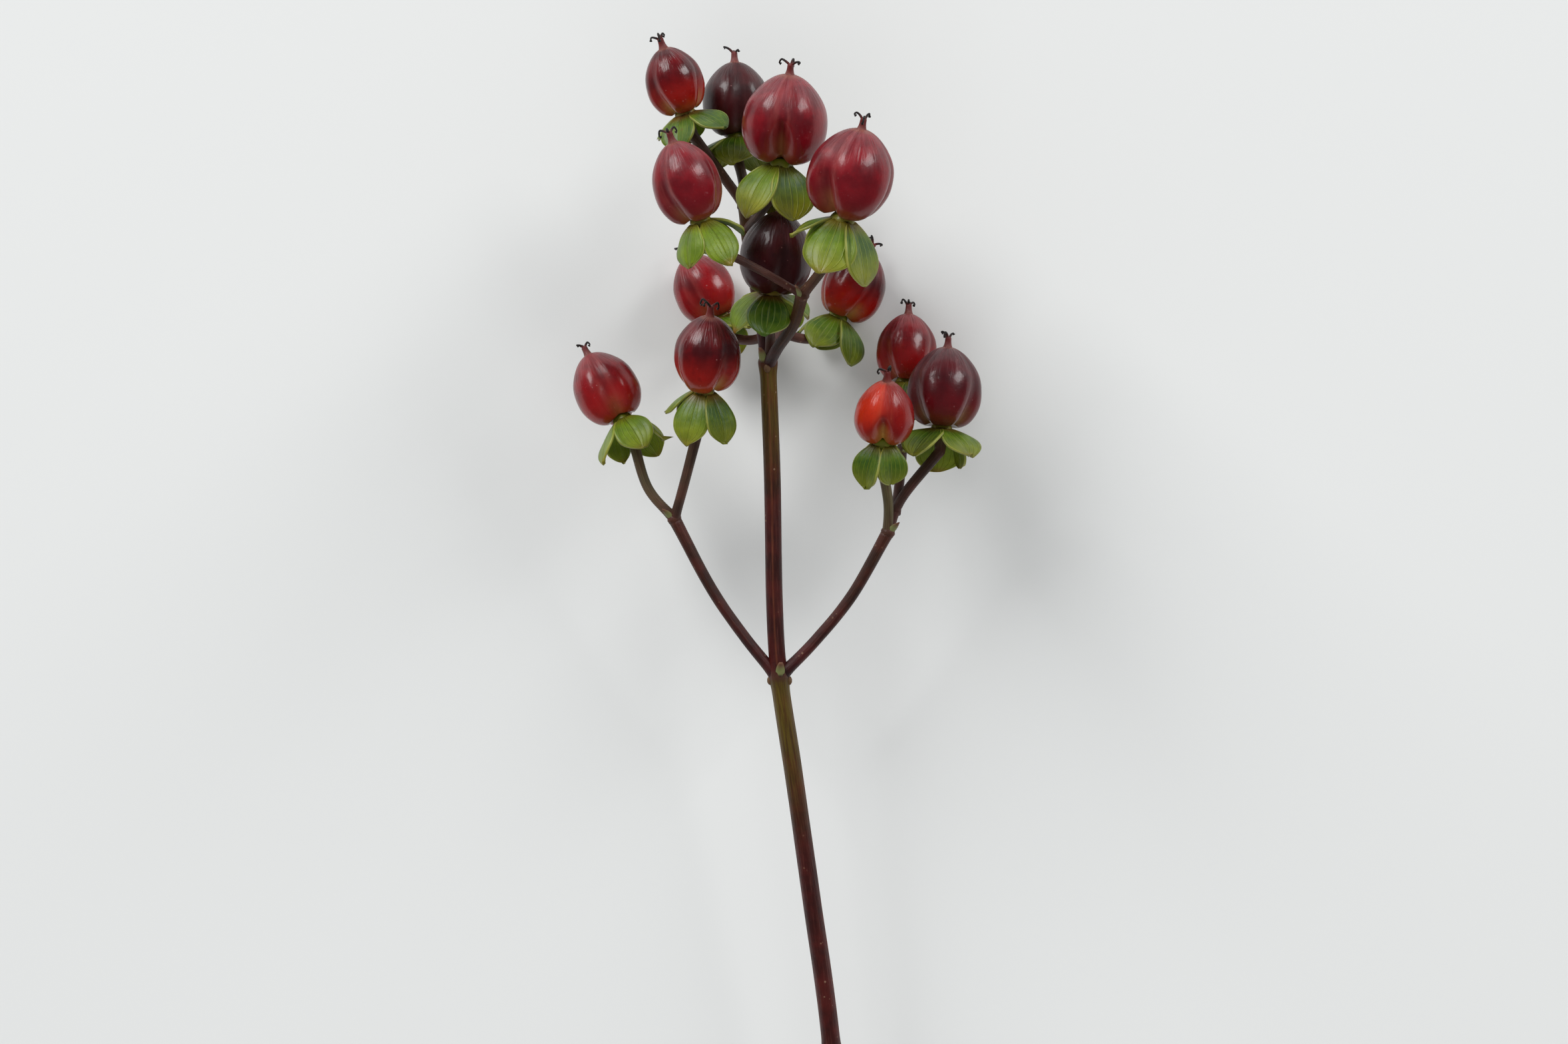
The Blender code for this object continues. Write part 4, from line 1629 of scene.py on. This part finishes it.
# In the order of the fields: number, stalk, foot and centre in millimetres, width and height, the
# angles of a groove, of the first sepal and of the sepals' bend, ripeness, green of the stalk, how
# egg-shaped, and the depth of the cleft.
FRUITS: tuple[Fruit, ...] = (
    # On the left branch
    Fruit(1, ((-17.4, 322.4, 24.0), (-21.9, 327.6, 23.6)), (-26.0, 338.0, 21.4),
          (-29.6, 344.3, 19.6), 10.9, 12.6, 10, 20, 36, Ripeness.RED, 0.55),
    Fruit(2, ((-17.4, 322.4, 24.0), (-15.6, 328.0, 26.4)), (-11.8, 343.6, 29.6),
          (-11.1, 350.4, 31.2), 11.1, 12.6, 50, 50, 42, Ripeness.GARNET, 0.2),
    # On the right branch
    Fruit(3, ((18.3, 320.3, 23.0), (18.4, 325.6, 24.6)), (17.7, 335.4, 28.2), (18.1, 340.9, 29.8),
          9.7, 10.5, 0, 30, 46, Ripeness.BRIGHT, 0.8, 0.19, 0.26),
    Fruit(4, ((18.3, 320.3, 23.0), (20.6, 326.0, 22.2)), (27.1, 337.1, 20.6), (27.6, 344.5, 19.8),
          12.4, 13.4, 62, 40, 40, Ripeness.BURGUNDY, 0.1),
    Fruit(5, ((19.5, 323.4, 22.6), (20.2, 330.2, 18.4)), (20.6, 344.2, 9.8), (20.8, 350.8, 8.4),
          10.2, 11.6, 70, 36, 45, Ripeness.RED, 0.1),
    # In the upper fork, then on the front branch
    Fruit(6, ((-1.2, 349.4, 26.6), (-0.9, 353.2, 28.8)), (-0.2, 360.6, 34.2), (0.6, 366.9, 35.4),
          11.8, 13.2, 20, 9, 28, Ripeness.DARK, 0.2),
    Fruit(7, ((5.3, 360.0, 41.5), (-0.6, 363.6, 44.4)), (-10.4, 371.0, 46.4), (-12.8, 378.1, 47.4),
          10.9, 13.0, 80, 30, 40, Ripeness.CRIMSON, 0.1, stalk_width=0.76),
    Fruit(8, ((5.3, 360.0, 41.5), (8.6, 363.9, 44.0)), (12.0, 371.4, 46.6), (13.7, 379.3, 47.6),
          13.9, 14.3, 85, 60, 38, Ripeness.CRIMSON, 0.35, 0.11, 0.16),
    # On the back branch, resting on the surface
    Fruit(9, ((-1.0, 353.4, 13.0), (3.4, 352.2, 9.4)), (8.6, 355.2, 5.5), (11.6, 361.5, 4.95),
          11.0, 12.2, 40, 54, 40, Ripeness.GARNET, 0.1),
    Fruit(10, ((-1.0, 353.4, 13.0), (-5.6, 352.0, 9.0)), (-11.2, 355.0, 5.5),
          (-14.4, 361.0, 4.95), 10.6, 11.8, 100, 36, 40, Ripeness.RED, 0.1),
    # At the top
    Fruit(11, ((-4.9, 370.6, 26.7), (-2.6, 373.0, 30.4)), (1.4, 380.6, 36.0), (2.3, 388.4, 37.6),
          13.7, 14.3, 0, 34, 48, Ripeness.CRIMSON, 0.2, 0.11, 0.26),
    Fruit(12, ((-5.3, 374.5, 27.0), (-5.7, 378.6, 25.4)), (-6.8, 385.5, 23.4), (-7.1, 392.2, 22.6),
          11.2, 12.4, 15, 3, 22, Ripeness.DARK, 0.2),
    Fruit(13, ((-5.3, 374.5, 27.0), (-8.6, 379.2, 28.6)), (-14.6, 389.4, 31.2),
          (-16.4, 394.9, 32.0), 9.5, 10.9, 75, 50, 25, Ripeness.GARNET, 0.2),
)


# The studio


@dataclass(frozen=True)
class Lamp:
    """A soft light: where it hangs and its width and height in metres, and its power in watts."""

    name: str
    place: Triple
    size: tuple[float, float]
    power: float
    in_gloss: bool = True


@dataclass
class Studio:
    """The pale surface, the soft lights and the camera that looks down on the stem."""

    frame_width: int = 2355
    sensor_width: float = 36.0
    pixels_per_mm: float = 9.0
    eye: Triple = (44.0, 364.7, 572.0)
    aim: Triple = (1.0, 322.0, 24.0)
    surface_half: float = 3.0
    surface_drop: float = 0.00005
    lit_place: Triple = (0.0, 0.15, 0.02)
    lamps: Sequence[Lamp] = (
        Lamp("window_left", (-1.24, 1.75, 1.22), (1.0, 1.4), 40.0),
        Lamp("window_right", (1.5, 1.45, 0.98), (0.7, 1.2), 22.0),
        Lamp("ceiling", (0.2, -1.15, 2.58), (2.4, 2.4), 10.4, False),
    )
    room: tuple[Colour, float] = ((0.97, 0.985, 1.0), 0.4)
    room_in_gloss: tuple[Colour, float] = ((0.95, 0.97, 1.0), 0.07)

    def add_surface(self) -> None:
        """Lays the surface just under the stem."""
        bm = bmesh.new()
        bmesh.ops.create_grid(bm, x_segments=8, y_segments=8, size=self.surface_half)
        bmesh.ops.translate(bm, vec=UP * -self.surface_drop, verts=bm.verts[:])
        mesh = bpy.data.meshes.new("pale_surface")
        bm.to_mesh(mesh)
        bm.free()
        mesh.materials.append(PaleSurface().material("pale_surface"))
        in_scene("pale_surface", mesh)

    def add_light(self, lamp: Lamp) -> None:
        """Hangs one soft light that faces the fruits.

        Args:
            lamp: The light.
        """
        light = bpy.data.lights.new(lamp.name, "AREA")
        light.shape = "RECTANGLE"
        light.size, light.size_y = lamp.size
        light.energy = lamp.power
        body = in_scene(lamp.name, light)
        body.location = lamp.place
        aim = Vector(self.lit_place) - Vector(lamp.place)
        body.rotation_mode = "QUATERNION"
        body.rotation_quaternion = aim.to_track_quat("-Z", "Y")
        body.visible_glossy = lamp.in_gloss

    def add_sky(self) -> None:
        """Fills the room with soft light that shows weaker in the gloss, as a dim room does."""
        world = bpy.data.worlds.new("soft_room")
        world.use_nodes = True
        nodes, links = world.node_tree.nodes, world.node_tree.links
        nodes.clear()
        output = nodes.new("ShaderNodeOutputWorld")
        mixer = nodes.new("ShaderNodeMixShader")
        path = nodes.new("ShaderNodeLightPath")
        for number, (colour, strength) in enumerate((self.room, self.room_in_gloss), 1):
            light = nodes.new("ShaderNodeBackground")
            light.inputs["Color"].default_value = (*colour, 1.0)
            light.inputs["Strength"].default_value = strength
            links.new(light.outputs[0], mixer.inputs[number])
        links.new(path.outputs["Is Glossy Ray"], mixer.inputs[0])
        links.new(mixer.outputs[0], output.inputs["Surface"])
        bpy.context.scene.world = world

    def add_camera(self) -> None:
        """Sets the camera above the fruits, with the stem's tip up in the frame."""
        eye, aim = placed(self.eye), placed(self.aim)
        back = (eye - aim).normalized()
        right = ALONG.cross(back).normalized()
        turned = Matrix((right, back.cross(right), back)).transposed().to_4x4()
        camera = bpy.data.cameras.new("camera")
        away = (eye - aim).length / MM
        camera.sensor_width = self.sensor_width
        camera.lens = self.sensor_width * self.pixels_per_mm * away / self.frame_width
        body = in_scene("camera", camera)
        body.matrix_world = Matrix.Translation(eye) @ turned
        bpy.context.scene.camera = body

    def build(self) -> None:
        """Sets up the surface, the lights and the camera."""
        self.add_surface()
        self.add_sky()
        for lamp in self.lamps:
            self.add_light(lamp)
        self.add_camera()
        bpy.context.scene.view_settings.view_transform = "Standard"
        LOG.info("studio: surface, %d lights and camera", len(self.lamps))


def main() -> None:
    """Builds the stem from the wood to the fruits, then the studio."""
    logging.basicConfig(level=logging.INFO, format="%(message)s")
    stem, branches = MainStem(), Branches()
    stem.build()
    branches.build()
    Bracts(branches.branches, stem).build()
    Stalks(FRUITS).build()
    finishes = BerryFinishes.make()
    for fruit in FRUITS:
        Berry(fruit, finishes).build()
        Calyx(fruit).build()
    Studio().build()


if __name__ == "__main__":
    main()
